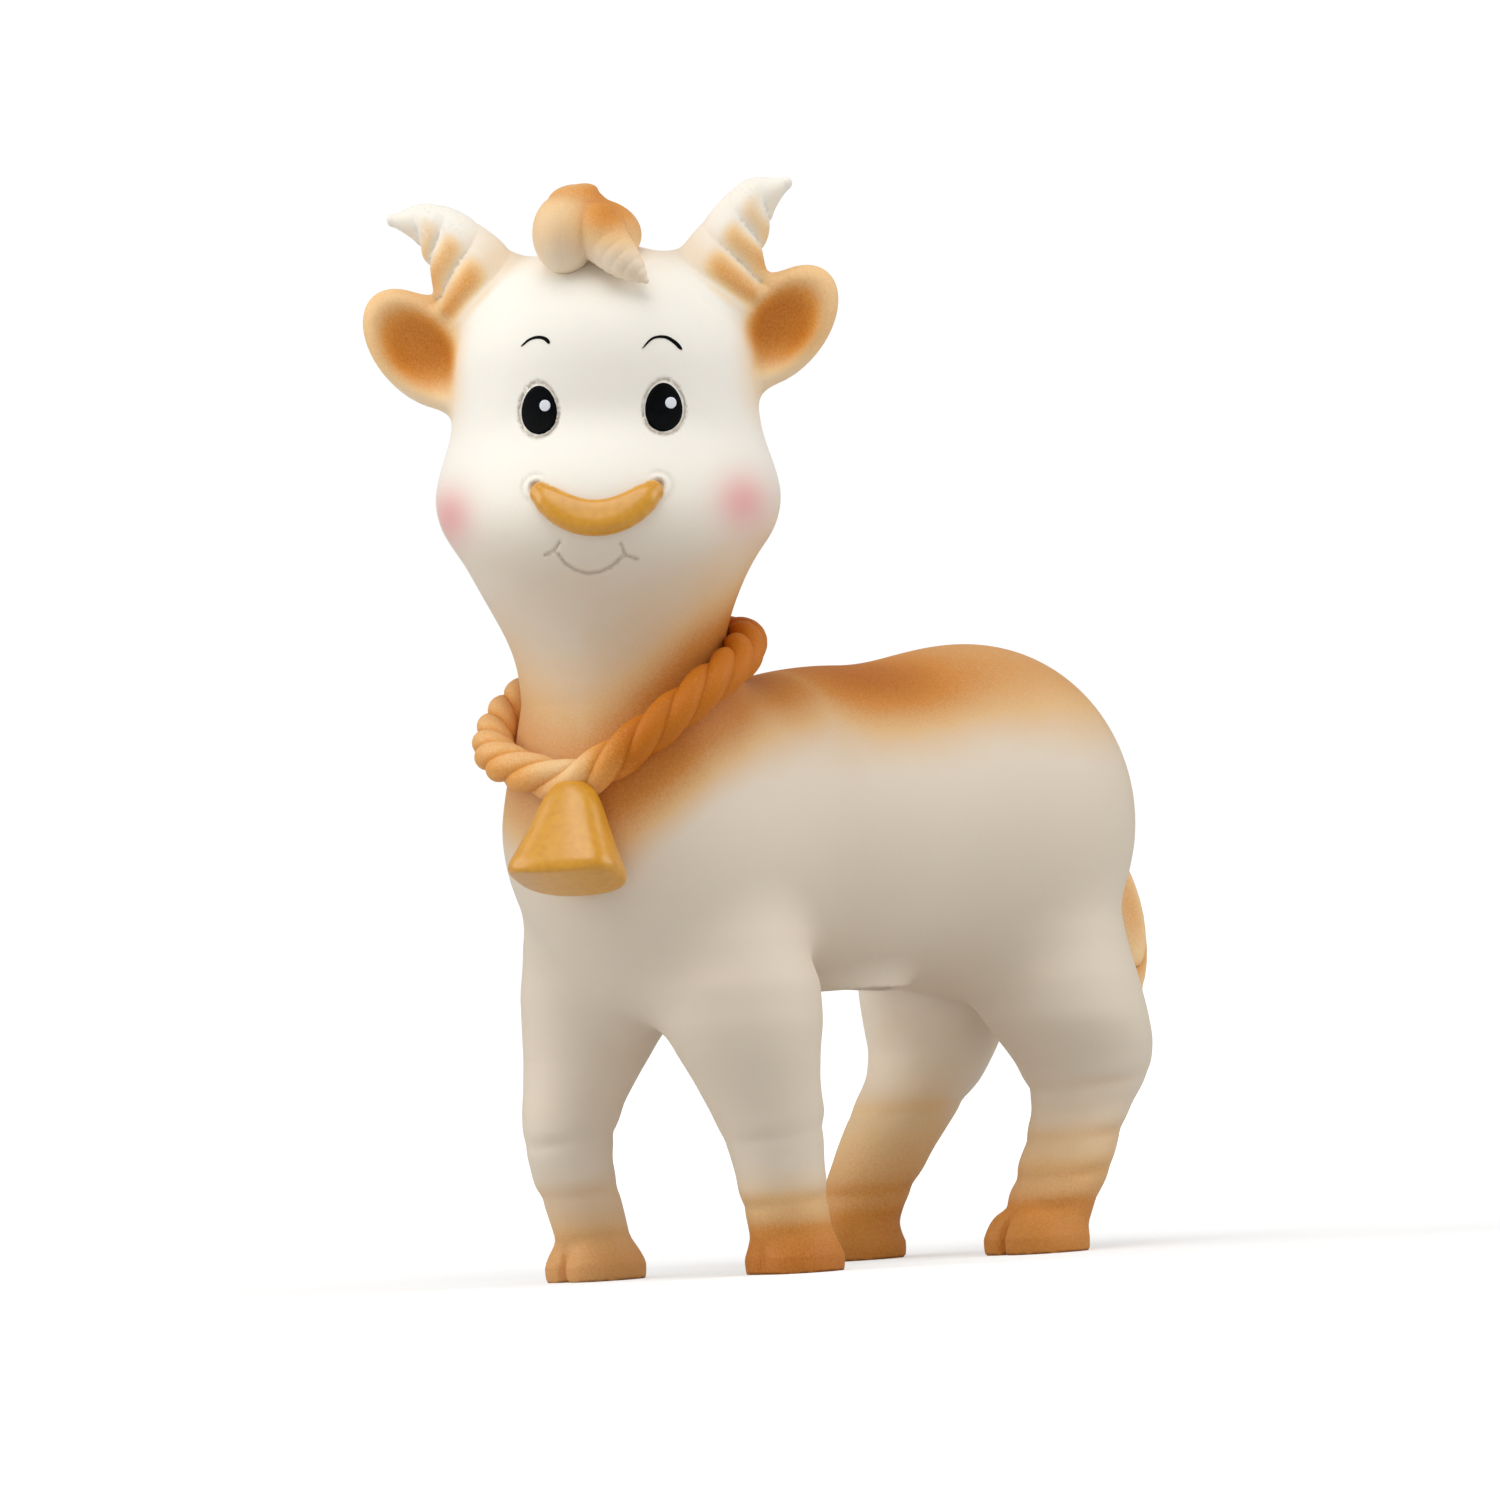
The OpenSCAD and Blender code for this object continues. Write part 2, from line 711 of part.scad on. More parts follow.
AIR_HOLE = 1.1;          // radius of each air hole in the cap
HOLDER_FLAT = 0.4;       // distance from the holder's axis to its flat face
HOLDER_BORE = 0.8;       // radius of the holder's air passage
HOLDER_BORE_X = -0.75;   // place of the air passage across the holder
SLOT_WIDTH = 1.1;        // width of the slot that the reed beats on
SLOT_FOOT = 0.8;         // height of the slot's lower end over the housing's floor
SLOT_TOP = 1.2;          // solid part of the holder over the slot
CAP_THICKNESS = 1.4;
CAP_CLEARANCE = 0.6;     // gap between the holder and the cap
REED_CLEARANCE = 0.15;   // gap between the reed's foot and the housing's floor
REED_TOP = 0.6;          // how far the reed ends under the holder's top

module squeaker_housing() {
    color(REED_WHITE)
        translate([0, squeaker_y, housing_z])
            rotate_extrude($fn = FINE)
                polygon([
                    [holder_radius, 0],
                    [housing_radius, 0],
                    [housing_radius, flange_z - housing_z],
                    [flange_radius, flange_z - housing_z],
                    [flange_radius, flange_z - housing_z + FLANGE_THICKNESS],
                    [housing_radius, flange_z - housing_z + FLANGE_THICKNESS],
                    [housing_radius, housing_height],
                    [housing_radius - housing_wall, housing_height],
                    [housing_radius - housing_wall, housing_wall],
                    [holder_radius, housing_wall]
                ]);
}

module squeaker_cap() {
    inner = housing_radius - housing_wall;
    color(REED_WHITE)
        translate([0, squeaker_y, housing_z + housing_height - CAP_THICKNESS])
            difference() {
                cylinder(r = inner, h = CAP_THICKNESS, $fn = FINE);
                for (i = [0:4])
                    rotate([0, 0, 72 * i])
                        translate([inner * 0.58, 0, -1])
                            cylinder(r = AIR_HOLE, h = CAP_THICKNESS + 2, $fn = 24);
            }
}

holder_height = housing_height - CAP_THICKNESS - CAP_CLEARANCE;

module reed_holder() {
    color(REED_WHITE)
        translate([0, squeaker_y, housing_z])
            difference() {
                cylinder(r = holder_radius, h = holder_height, $fn = FINE);
                translate([HOLDER_FLAT, -10, housing_wall]) cube([10, 20, holder_height]);
                translate([HOLDER_BORE_X, 0, -1]) cylinder(r = HOLDER_BORE, h = holder_height, $fn = 24);
                translate([HOLDER_BORE_X, -SLOT_WIDTH / 2, housing_wall + SLOT_FOOT])
                    cube([2, SLOT_WIDTH, holder_height - housing_wall - SLOT_FOOT - SLOT_TOP]);
            }
}

reed_x = HOLDER_FLAT + reed_gap;
reed_z = housing_z + housing_wall + REED_CLEARANCE;

module squeaker_reed() {
    color(REED_WHITE)
        translate([reed_x, squeaker_y - reed_width / 2, reed_z])
            cube([reed_thickness, reed_width, holder_height - housing_wall - REED_TOP]);
}

body_skin();
head_skin();
horn(1);  // left_horn
horn(-1);  // right_horn
ear(1);  // left_ear
ear(-1);  // right_ear
forelock();
nose_ring();
rope_collar();
bell();
tail();
eye(1);  // left_eye
eye(-1);  // right_eye
eye_glint(1);  // left_eye_glint
eye_glint(-1);  // right_eye_glint
brow(1);  // left_brow
brow(-1);  // right_brow
squeaker_housing();
squeaker_cap();
reed_holder();
squeaker_reed();
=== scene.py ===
"""Looks of a hollow rubber squeaky toy: a standing young horned goat with a rope collar and a bell.

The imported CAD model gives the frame. Each class below holds one sub-assembly's sizes in millimetres, builds
its meshes and dresses them. Sculpted rubber is described by distance fields, which are turned into meshes here.
"""
import logging
import math
from dataclasses import dataclass
from enum import Enum
from typing import Callable, Sequence

import bmesh
import bpy
import numpy as np
from mathutils import Matrix, Vector


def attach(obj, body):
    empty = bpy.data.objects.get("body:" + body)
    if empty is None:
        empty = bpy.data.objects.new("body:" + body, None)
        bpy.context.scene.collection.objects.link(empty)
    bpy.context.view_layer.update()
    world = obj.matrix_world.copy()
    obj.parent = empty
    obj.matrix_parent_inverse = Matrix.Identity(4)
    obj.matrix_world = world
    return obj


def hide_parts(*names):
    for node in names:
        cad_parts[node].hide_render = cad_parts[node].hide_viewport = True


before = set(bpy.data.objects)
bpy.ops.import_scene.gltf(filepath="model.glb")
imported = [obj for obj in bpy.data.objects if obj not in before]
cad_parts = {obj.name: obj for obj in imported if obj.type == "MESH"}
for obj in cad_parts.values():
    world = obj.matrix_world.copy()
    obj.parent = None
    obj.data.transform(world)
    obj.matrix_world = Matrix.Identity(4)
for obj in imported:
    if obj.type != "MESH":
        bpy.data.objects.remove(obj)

logging.basicConfig(level=logging.INFO, format="%(message)s")
log = logging.getLogger("toy")

MM = 0.001
FAR = 99.0
Array = np.ndarray
Field = Callable[[Array], Array]
Point = tuple[float, float, float]
Point4 = tuple[float, float, float, float]


# ---- Colours, nodes and meshes ---------------------------------------------------------------


def linear(code: str) -> tuple[float, float, float, float]:
    """Turn an sRGB hex colour to linear.

    Args:
        code: the colour as "#RRGGBB".

    Returns:
        Linear red, green, blue and an alpha of 1.
    """
    channels = [int(code[i : i + 2], 16) / 255 for i in (1, 3, 5)]
    return (*[c / 12.92 if c <= 0.04045 else ((c + 0.055) / 1.055) ** 2.4 for c in channels], 1.0)


def add_node(tree: bpy.types.NodeTree, kind: str, inputs: dict | None = None, **settings) -> bpy.types.Node:
    """Add a node with its settings, values and links.

    Args:
        tree: the node tree to add to.
        kind: the node's type name.
        inputs: socket name or number to a value, or to an output socket to link.
        settings: the node's own properties.

    Returns:
        The new node.
    """
    node = tree.nodes.new(kind)
    for name, value in settings.items():
        setattr(node, name, value)
    for key, value in (inputs or {}).items():
        if isinstance(value, bpy.types.NodeSocket):
            tree.links.new(value, node.inputs[key])
        else:
            node.inputs[key].default_value = value
    return node


def make_object(name: str, points: Array, faces: Sequence, smooth: bool = True) -> bpy.types.Object:
    """Make a mesh object from points in millimetres.

    Args:
        name: the piece's name.
        points: vertices, in millimetres in the part's frame.
        faces: vertex numbers of each face.
        smooth: whether the faces are shaded smooth.

    Returns:
        The object, at the origin, linked to the scene.
    """
    mesh = bpy.data.meshes.new(name)
    mesh.from_pydata((np.asarray(points) * MM).tolist(), [], [list(map(int, f)) for f in faces])
    mesh.validate()
    mesh.polygons.foreach_set("use_smooth", [smooth] * len(mesh.polygons))
    mesh.update()
    obj = bpy.data.objects.new(name, mesh)
    bpy.context.scene.collection.objects.link(obj)
    return obj


def mesh_points(obj: bpy.types.Object) -> Array:
    """Vertices of an object in millimetres.

    Args:
        obj: the piece.

    Returns:
        The vertices.
    """
    flat = np.empty(len(obj.data.vertices) * 3, np.float32)
    obj.data.vertices.foreach_get("co", flat)
    return flat.reshape(-1, 3).astype(float) / MM


def paint(obj: bpy.types.Object, name: str, values: Array) -> None:
    """Store one number for each vertex as an attribute that a material reads."""
    layer = obj.data.attributes.get(name) or obj.data.attributes.new(name, "FLOAT", "POINT")
    layer.data.foreach_set("value", np.asarray(values, np.float32))


def finish_piece(obj: bpy.types.Object, material: bpy.types.Material, slot: str, *nodes: str) -> None:
    """Dress a piece, let it ride with the toy and hide the CAD nodes that it stands for.

    Args:
        obj: the finished piece.
        material: its finish.
        slot: the record's material slot; not used.
        nodes: CAD nodes that it replaces.
    """
    obj.data.materials.clear()
    obj.data.materials.append(material)
    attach(obj, "toy")
    if nodes:
        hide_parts(*nodes)
    log.info("%s: %d faces", obj.name, len(obj.data.polygons))


# ---- Distance fields ------------------------------------------------------------------------


def union(a: Array, b: Array, blend: float) -> Array:
    """Join two distance fields with a fillet of about the blend's size."""
    h = np.clip(0.5 + 0.5 * (b - a) / blend, 0, 1)
    return b * (1 - h) + a * h - blend * h * (1 - h)


def carve(a: Array, b: Array, blend: float) -> Array:
    """Take field b out of field a, with the edge rounded by the blend."""
    return -union(-a, b, blend)


def ellipsoid(p: Array, centre: Point, radii: Point) -> Array:
    """Distance to an ellipsoid along the axes.

    Args:
        p: points in millimetres in the part's frame.
        centre: the middle.
        radii: half sizes along the axes.

    Returns:
        The distance of each point.
    """
    q = p - np.array(centre)
    r = np.array(radii)
    k0 = np.linalg.norm(q / r, axis=1)
    k1 = np.linalg.norm(q / (r * r), axis=1)
    return k0 * (k0 - 1) / np.maximum(k1, 1e-6)


def limb(p: Array, joints: Sequence[Point4], blend: float = 0.0) -> Array:
    """Distance to a chain of round segments.

    Args:
        p: points to measure.
        joints: x, y, z and radius of each joint.
        blend: fillet between two segments, or 0 for none.

    Returns:
        The distance of each point.
    """
    total = None
    for (ax, ay, az, ar), (bx, by, bz, br) in zip(joints, joints[1:]):
        a = np.array((ax, ay, az))
        along = np.array((bx, by, bz)) - a
        t = np.clip((p - a) @ along / (along @ along), 0, 1)
        t = t * t * (3 - 2 * t) * 0.35 + t * 0.65
        d = np.linalg.norm(p - a - t[:, None] * along, axis=1) - (ar + (br - ar) * t)
        total = d if total is None else (union(total, d, blend) if blend else np.minimum(total, d))
    return total


def near(p: Array, low: Point, high: Point, shape: Field, far: float = 30.0) -> Array:
    """Evaluate a small shape only inside a box, and call it far away elsewhere.

    Args:
        p: points in millimetres in the part's frame.
        low: lowest corner of the box.
        high: highest corner of the box.
        shape: the distance field.
        far: value outside the box.

    Returns:
        The shape's values, or far outside the box.
    """
    inside = np.all((p > np.array(low)) & (p < np.array(high)), axis=1)
    result = np.full(len(p), far)
    if inside.any():
        result[inside] = shape(p[inside])
    return result


def gradient(shape: Field, p: Array, reach: float = 0.08) -> Array:
    """Slope of a field at points, by central differences."""
    steps = np.eye(3) * reach
    return np.stack([(shape(p + s) - shape(p - s)) / (2 * reach) for s in steps], axis=1)


def settle(shape: Field, p: Array, rounds: int = 3, reach: float = 0.08) -> Array:
    """Move points onto the surface of a field.

    Args:
        shape: the distance field.
        p: points in millimetres in the part's frame.
        rounds: how often the points move.
        reach: half of the step between two samples.

    Returns:
        The moved points.
    """
    for _ in range(rounds):
        slope = gradient(shape, p, reach)
        size = np.maximum((slope * slope).sum(1), 0.05)
        p = p - np.clip(shape(p) / size, -0.8, 0.8)[:, None] * slope
    return p


def polygonise(shape: Field, low: Point, high: Point, step: float) -> tuple[Array, Array]:
    """Turn the inside of a field into a closed mesh of quads by surface nets.

    Args:
        shape: the distance field, negative inside.
        low: lowest corner of the region.
        high: highest corner of the region.
        step: size of a grid cell.

    Returns:
        Vertices in millimetres and quads of vertex numbers.
    """
    block = 4
    low_corner = np.array(low, float)
    blocks = np.ceil((np.array(high) - low_corner) / (block * step)).astype(int)
    grid = [low_corner[i] + (np.arange(blocks[i]) + 0.5) * block * step for i in range(3)]
    coarse_points = np.stack(np.meshgrid(*grid, indexing="ij"), -1).reshape(-1, 3)
    coarse = shape(coarse_points).reshape(blocks)
    active = np.abs(coarse) < block * step * 1.35 + 1.0
    nodes = blocks * block + 1
    values = np.repeat(np.repeat(np.repeat(np.sign(coarse), block, 0), block, 1), block, 2) * 9.0
    values = np.pad(values, ((0, 1), (0, 1), (0, 1)), mode="edge")
    fine = np.repeat(np.repeat(np.repeat(active, block, 0), block, 1), block, 2)
    fine = np.pad(fine, ((0, 1), (0, 1), (0, 1)), mode="edge")
    for axis in range(3):
        fine = fine | np.roll(fine, 1, axis)
    chosen = np.argwhere(fine)
    values[fine] = shape(low_corner + chosen * step)

    inside = values < 0
    cells = nodes - 1
    count = np.zeros(cells, np.int8)
    corners = [(i, j, k) for i in (0, 1) for j in (0, 1) for k in (0, 1)]
    for i, j, k in corners:
        count += inside[i : i + cells[0], j : j + cells[1], k : k + cells[2]]
    crossing = np.argwhere((count > 0) & (count < 8))
    numbers = np.full(cells, -1, np.int64)
    numbers[tuple(crossing.T)] = np.arange(len(crossing))
    total = np.zeros((len(crossing), 3))
    hits = np.zeros(len(crossing))
    for start in corners:
        for axis in range(3):
            if start[axis]:
                continue
            a = np.array(start)
            b = a.copy()
            b[axis] = 1
            va = values[tuple((crossing + a).T)]
            vb = values[tuple((crossing + b).T)]
            cut = (va < 0) != (vb < 0)
            t = np.where(cut, va / np.where(cut, va - vb, 1), 0)
            total += np.where(cut[:, None], a + t[:, None] * (b - a), 0)
            hits += cut
    points = low_corner + (crossing + total / hits[:, None]) * step

    quads = []
    for axis in range(3):
        u, v = (axis + 1) % 3, (axis + 2) % 3
        first = [slice(None)] * 3
        second = [slice(None)] * 3
        first[axis], second[axis] = slice(0, -1), slice(1, None)
        change = np.argwhere(inside[tuple(first)] != inside[tuple(second)])
        change = change[(change[:, u] > 0) & (change[:, v] > 0)]
        change = change[(change[:, u] < cells[u]) & (change[:, v] < cells[v])]
        outward = inside[tuple(change.T)]
        ring = []
        for du, dv in ((-1, -1), (0, -1), (0, 0), (-1, 0)):
            cell = change.copy()
            cell[:, u] += du
            cell[:, v] += dv
            ring.append(numbers[tuple(cell.T)])
        quad = np.stack(ring, 1)
        quad[~outward] = quad[~outward][:, ::-1]
        quads.append(quad)
    faces = np.concatenate(quads)
    return settle(shape, points, 2), faces[(faces >= 0).all(1)]


def ease(low: float, high: float, value: Array) -> Array:
    """Smooth step from 0 at low to 1 at high; low may lie above high."""
    t = np.clip((value - low) / (high - low), 0, 1)
    return t * t * (3 - 2 * t)


def bump(value: Array, centre: float, width: float) -> Array:
    """Bell-shaped weight round a centre."""
    return np.exp(-(((value - centre) / width) ** 2))


def line_distance(flat: Array, stroke: Sequence[tuple[float, float]]) -> Array:
    """Distance from points of a plane to a line through several points.

    Args:
        flat: places in the plane.
        stroke: the line's points.

    Returns:
        The distance of each place.
    """
    best = np.full(len(flat), FAR)
    for a, b in zip(np.array(stroke[:-1]), np.array(stroke[1:])):
        t = np.clip((flat - a) @ (b - a) / ((b - a) @ (b - a)), 0, 1)
        best = np.minimum(best, np.linalg.norm(flat - a - t[:, None] * (b - a), axis=1))
    return best


def smooth_path(points: Array, count: int) -> Array:
    """Smooth curve through points, with their extra columns such as a radius.

    Args:
        points: points that the curve goes through.
        count: how many points the curve gets.

    Returns:
        The points of the curve.
    """
    points = np.asarray(points, float)
    padded = np.vstack([2 * points[0] - points[1], points, 2 * points[-1] - points[-2]])
    result = []
    for at in np.linspace(0, len(points) - 1, count):
        i = min(int(at), len(points) - 2)
        t = at - i
        a, b, c, d = padded[i : i + 4]
        square = (2 * a - 5 * b + 4 * c - d) * t**2
        cube = (3 * b - a - 3 * c + d) * t**3
        result.append(0.5 * (2 * b + (c - a) * t + square + cube))
    return np.array(result)


@dataclass(frozen=True)
class Eye:
    """A painted eye in its engraved ring, in the head's axes."""

    name: str
    side: float
    up: float
    width: float = 5.3
    height: float = 7.15
    ring_width: float = 5.9
    ring_height: float = 8.1
    glint_side: float = 0.95
    glint_up: float = 0.6
    glint: float = 1.7

    def egg(self, side: Array, up: Array, wide: float, high: float) -> Array:
        """1 on an egg-shaped outline narrower at the top, less inside."""
        v = (up - self.up) / high
        return np.hypot((side - self.side) / (wide * (1 - 0.10 * v)), v)


EYES = (Eye("left", 9.7, 128.7), Eye("right", -8.6, 128.6))
BROWS = {
    "left": ((6.7, 137.3), (8.2, 138.8), (10.0, 139.0), (11.4, 138.2), (12.4, 137.1)),
    "right": ((-11.2, 138.0), (-9.9, 139.0), (-8.6, 139.3), (-7.5, 139.0), (-6.9, 138.3)),
}
MOUTH = (
    [(-5.7, 107.4), (-4.8, 106.1), (-3.4, 105.1), (-1.5, 104.5), (0.4, 104.7), (2.1, 105.5), (3.6, 106.8)],
    [(-7.6, 107.3), (-6.4, 107.8), (-5.3, 109.2)],
    [(3.5, 108.7), (4.2, 107.0), (5.8, 106.5)],
)


# ---- Skin ------------------------------------------------------------------------------------


class Side(Enum):
    """The toy's own left and right; the value is the sign of its side axis."""

    LEFT = 1
    RIGHT = -1


@dataclass
class Leg:
    """One leg: stations up its height and the place of its hoof.

    Each station is a height, how far fore or aft its middle lies, and its radius.
    """

    x: float
    hoof_y: float
    stations: list[tuple[float, float, float]]
    wrinkles: tuple[float, ...]
    hoof_length: float = 7.6

    def field(self, p: Array) -> Array:
        """Distance to the leg with its wrinkles and hoof.

        Args:
            p: points in millimetres in the part's frame.

        Returns:
            The distance of each point.
        """
        heights, ys, radii = (np.array(c) for c in zip(*self.stations))
        z = p[:, 2]
        fine = np.linspace(heights[0], heights[-1], 120)
        soft = np.exp(-(((fine[:, None] - fine[None, :]) / 1.3) ** 2))
        soft /= soft.sum(1, keepdims=True)
        y = np.interp(z, fine, soft @ np.interp(fine, heights, ys))
        r = np.interp(z, fine, soft @ np.interp(fine, heights, radii))
        x = self.x * (1 - 0.2 * ease(30, 52, z))
        for height in self.wrinkles:
            h = z - height - 0.12 * (p[:, 1] - y)
            part = 0.65 + 0.35 * np.sin(3 * np.arctan2(p[:, 1] - y, p[:, 0] - x) + height)
            r = r + part * (0.26 * np.exp(-((h / 1.6) ** 2)) - 0.26 * np.exp(-(((h + 2.3) / 0.9) ** 2)))
        d = (np.hypot((p[:, 0] - x) / 0.94, p[:, 1] - y) - r) * 0.92
        return union(d, self.hoof(p), 1.2)

    def hoof(self, p: Array) -> Array:
        """Distance to the hoof, with the cleft between its two toes and the crease over it.

        Args:
            p: points in millimetres in the part's frame.

        Returns:
            The distance of each point.
        """
        q = p - np.array((self.x, self.hoof_y - 0.5, 2.4))
        wide = 6.9 - 0.32 * np.clip(q[:, 2], 0, 6)
        long = self.hoof_length - 0.45 * np.clip(q[:, 2], 0, 6)
        plan = np.abs(q[:, 0] / wide) ** 2.6 + np.abs(q[:, 1] / long) ** 2.6
        d = ((plan + np.abs(q[:, 2] / 5.0) ** 3.4) ** (1 / 3) - 1) * 6.2
        toe = ease(-2.0, -5.5, q[:, 1])
        cleft = np.exp(-((q[:, 0] / 0.55) ** 2)) * toe
        fullness = 0.35 * np.exp(-(((np.abs(q[:, 0]) - 3.2) / 2.2) ** 2)) * toe
        return d + cleft - fullness


LEGS = {
    "front_right": Leg(-14, -33.5, [
        (2, -33.7, 5.4), (7, -34.6, 5.7), (11, -35.8, 5.9), (15, -37.3, 6.1), (18, -38.1, 6.4),
        (22, -38.0, 6.9), (25, -37.5, 7.5), (29, -35.6, 8.5), (33, -33.8, 9.7), (37, -32.6, 11.0),
        (43, -32.0, 12.2), (50, -32, 12.0), (58, -32, 9), (66, -31, 1),
    ], (15.5, 23.5), 6.8),
    "front_left": Leg(14, -18.9, [
        (2, -19.4, 6.3), (7, -20.2, 6.3), (11, -21.0, 6.4), (15, -21.6, 6.8), (18, -22.0, 7.2),
        (22, -22.9, 7.9), (25, -23.8, 8.7), (29, -25.2, 9.6), (33, -26.4, 10.9), (37, -26.8, 12.2),
        (43, -26.9, 12.9), (50, -27, 11), (58, -27, 6), (66, -27, 1),
    ], (13.0, 23.0), 6.6),
    "hind_right": Leg(-14, 18.3, [
        (2, 18.6, 5.8), (7, 19.8, 6.2), (12, 22.2, 7.0), (17, 25.8, 7.8), (21, 29.0, 8.3),
        (24, 31.4, 8.6), (27, 34.3, 9.2), (31, 36.2, 10.1), (35, 36.6, 11.3), (40, 36.2, 12.1),
        (47, 35, 12), (55, 34, 8), (64, 34, 1),
    ], (12.5, 24.5)),
    "hind_left": Leg(14, 30.0, [
        (2, 30.8, 6.3), (7, 32.6, 6.8), (12, 35.7, 7.1), (15, 37.0, 7.2), (18, 38.4, 7.2),
        (21, 39.8, 7.5), (24, 41.1, 8.7), (27, 41.4, 9.9), (31, 40.0, 11.6), (35, 38.0, 12.8),
        (41, 37.0, 13.0), (48, 37, 12), (56, 37, 8), (65, 37, 1),
    ], (9.5, 14.0, 19.5, 27.5), 7.4),
}


# Height of the rope's middle over its lowest point, at angles round the neck from the bell.
COLLAR_LIFTS = (
    (-130, 15.8), (-110, 12.6), (-90, 9.5), (-70, 6.5), (-27, 2.2), (0, 0), (20, 4), (65, 14.5), (110, 20),
    (180, 21.5), (230, 15.8), (250, 12.6),
)
COLLAR_HEIGHT = 73.7
NECK_Y = -36.3
BELL_AZIMUTH = 28.0


def collar_lift(p: Array, core: float = 0.0) -> Array:
    """Height of points above the rope's middle, measured round the neck.

    Args:
        p: points to measure.
        core: inside this radius the rope's height fades to its mean, so that the neck can be cut there.

    Returns:
        The heights.
    """
    azimuth = np.degrees(np.arctan2(p[:, 0], -(p[:, 1] - NECK_Y))) - BELL_AZIMUTH
    azimuth = np.mod(azimuth + 110, 360) - 110
    angles, lifts = (np.array(c, float) for c in zip(*COLLAR_LIFTS))
    lift = np.interp(azimuth, angles, lifts)
    if core:
        share = ease(0.0, core, np.hypot(p[:, 0], p[:, 1] - NECK_Y))
        lift = 12.0 + (lift - 12.0) * share
    return p[:, 2] - COLLAR_HEIGHT - lift


EARS = ((26.4, 140.7), (-27.4, 138.3))


def ear_frame(q: Array, centre_side: float, centre_up: float) -> Array:
    """Points in an ear's own axes: along it, ahead and across it.

    Args:
        q: points in the head's axes.
        centre_side: side of the ear's middle.
        centre_up: height of the ear's middle.

    Returns:
        The same points along, ahead of and across the ear.
    """
    out = (q[:, 0] - centre_side) * np.sign(centre_side)
    up = q[:, 2] - centre_up
    tilt = math.radians(50)
    along = out * math.cos(tilt) + up * math.sin(tilt)
    across = -out * math.sin(tilt) + up * math.cos(tilt)
    return np.stack([along, q[:, 1] + 1.0 - 0.05 * out, across], 1)


# Joints of each horn's middle in the head's axes: side, ahead, up and radius.
HORNS = (
    ((15.5, -1, 146.5, 7.3), (18.0, -1, 151.6, 5.9), (20.2, -1, 155.9, 4.6), (23.0, -1, 159.6, 3.4),
     (27.2, -1, 161.8, 1.0)),
    ((-16.5, -1, 146.0, 7.3), (-20.0, -1, 151.0, 5.9), (-23.3, -1, 154.9, 4.5), (-26.6, -1, 156.9, 3.1),
     (-31.0, -1, 157.4, 1.0)),
)


@dataclass(frozen=True)
class Winding:
    """Where points lie round one horn: distance from its middle line, its radius, and the twist's phase."""

    off: Array
    radius: Array
    share: Array
    wind: Array
    outer: Array


def winding(q: Array, joints: Sequence[Point4]) -> Winding:
    """Measure points against a horn, whose grooves wind twice round it as they climb.

    Args:
        q: points in the head's axes.
        joints: the horn's joints.

    Returns:
        The points' places round the horn.
    """
    sign = np.sign(joints[0][0])
    fine = smooth_path(np.array(joints), 28)
    gap = np.linalg.norm(q[:, None, :] - fine[None, :, :3], axis=2)
    i = np.clip(gap.argmin(1), 0, len(fine) - 2)
    a, b = fine[i, :3], fine[i + 1, :3]
    along = b - a
    t = np.clip(((q - a) * along).sum(1) / (along * along).sum(1), -0.6, 1)
    off = q - a - t[:, None] * along
    share = (i + t) / (len(fine) - 1)
    radius = fine[i, 3] + (fine[i + 1, 3] - fine[i, 3]) * t
    angle = np.arctan2(off[:, 1], (off[:, 0] * sign - off[:, 2]) * 0.707)
    wind = np.mod(np.maximum(share, 0) ** 0.9 * 3.9 - angle / math.pi + 0.25, 1)
    outer = ease(-1.0, 0.3, np.cos(angle))
    return Winding(np.linalg.norm(off, axis=1), radius, share, wind, outer)


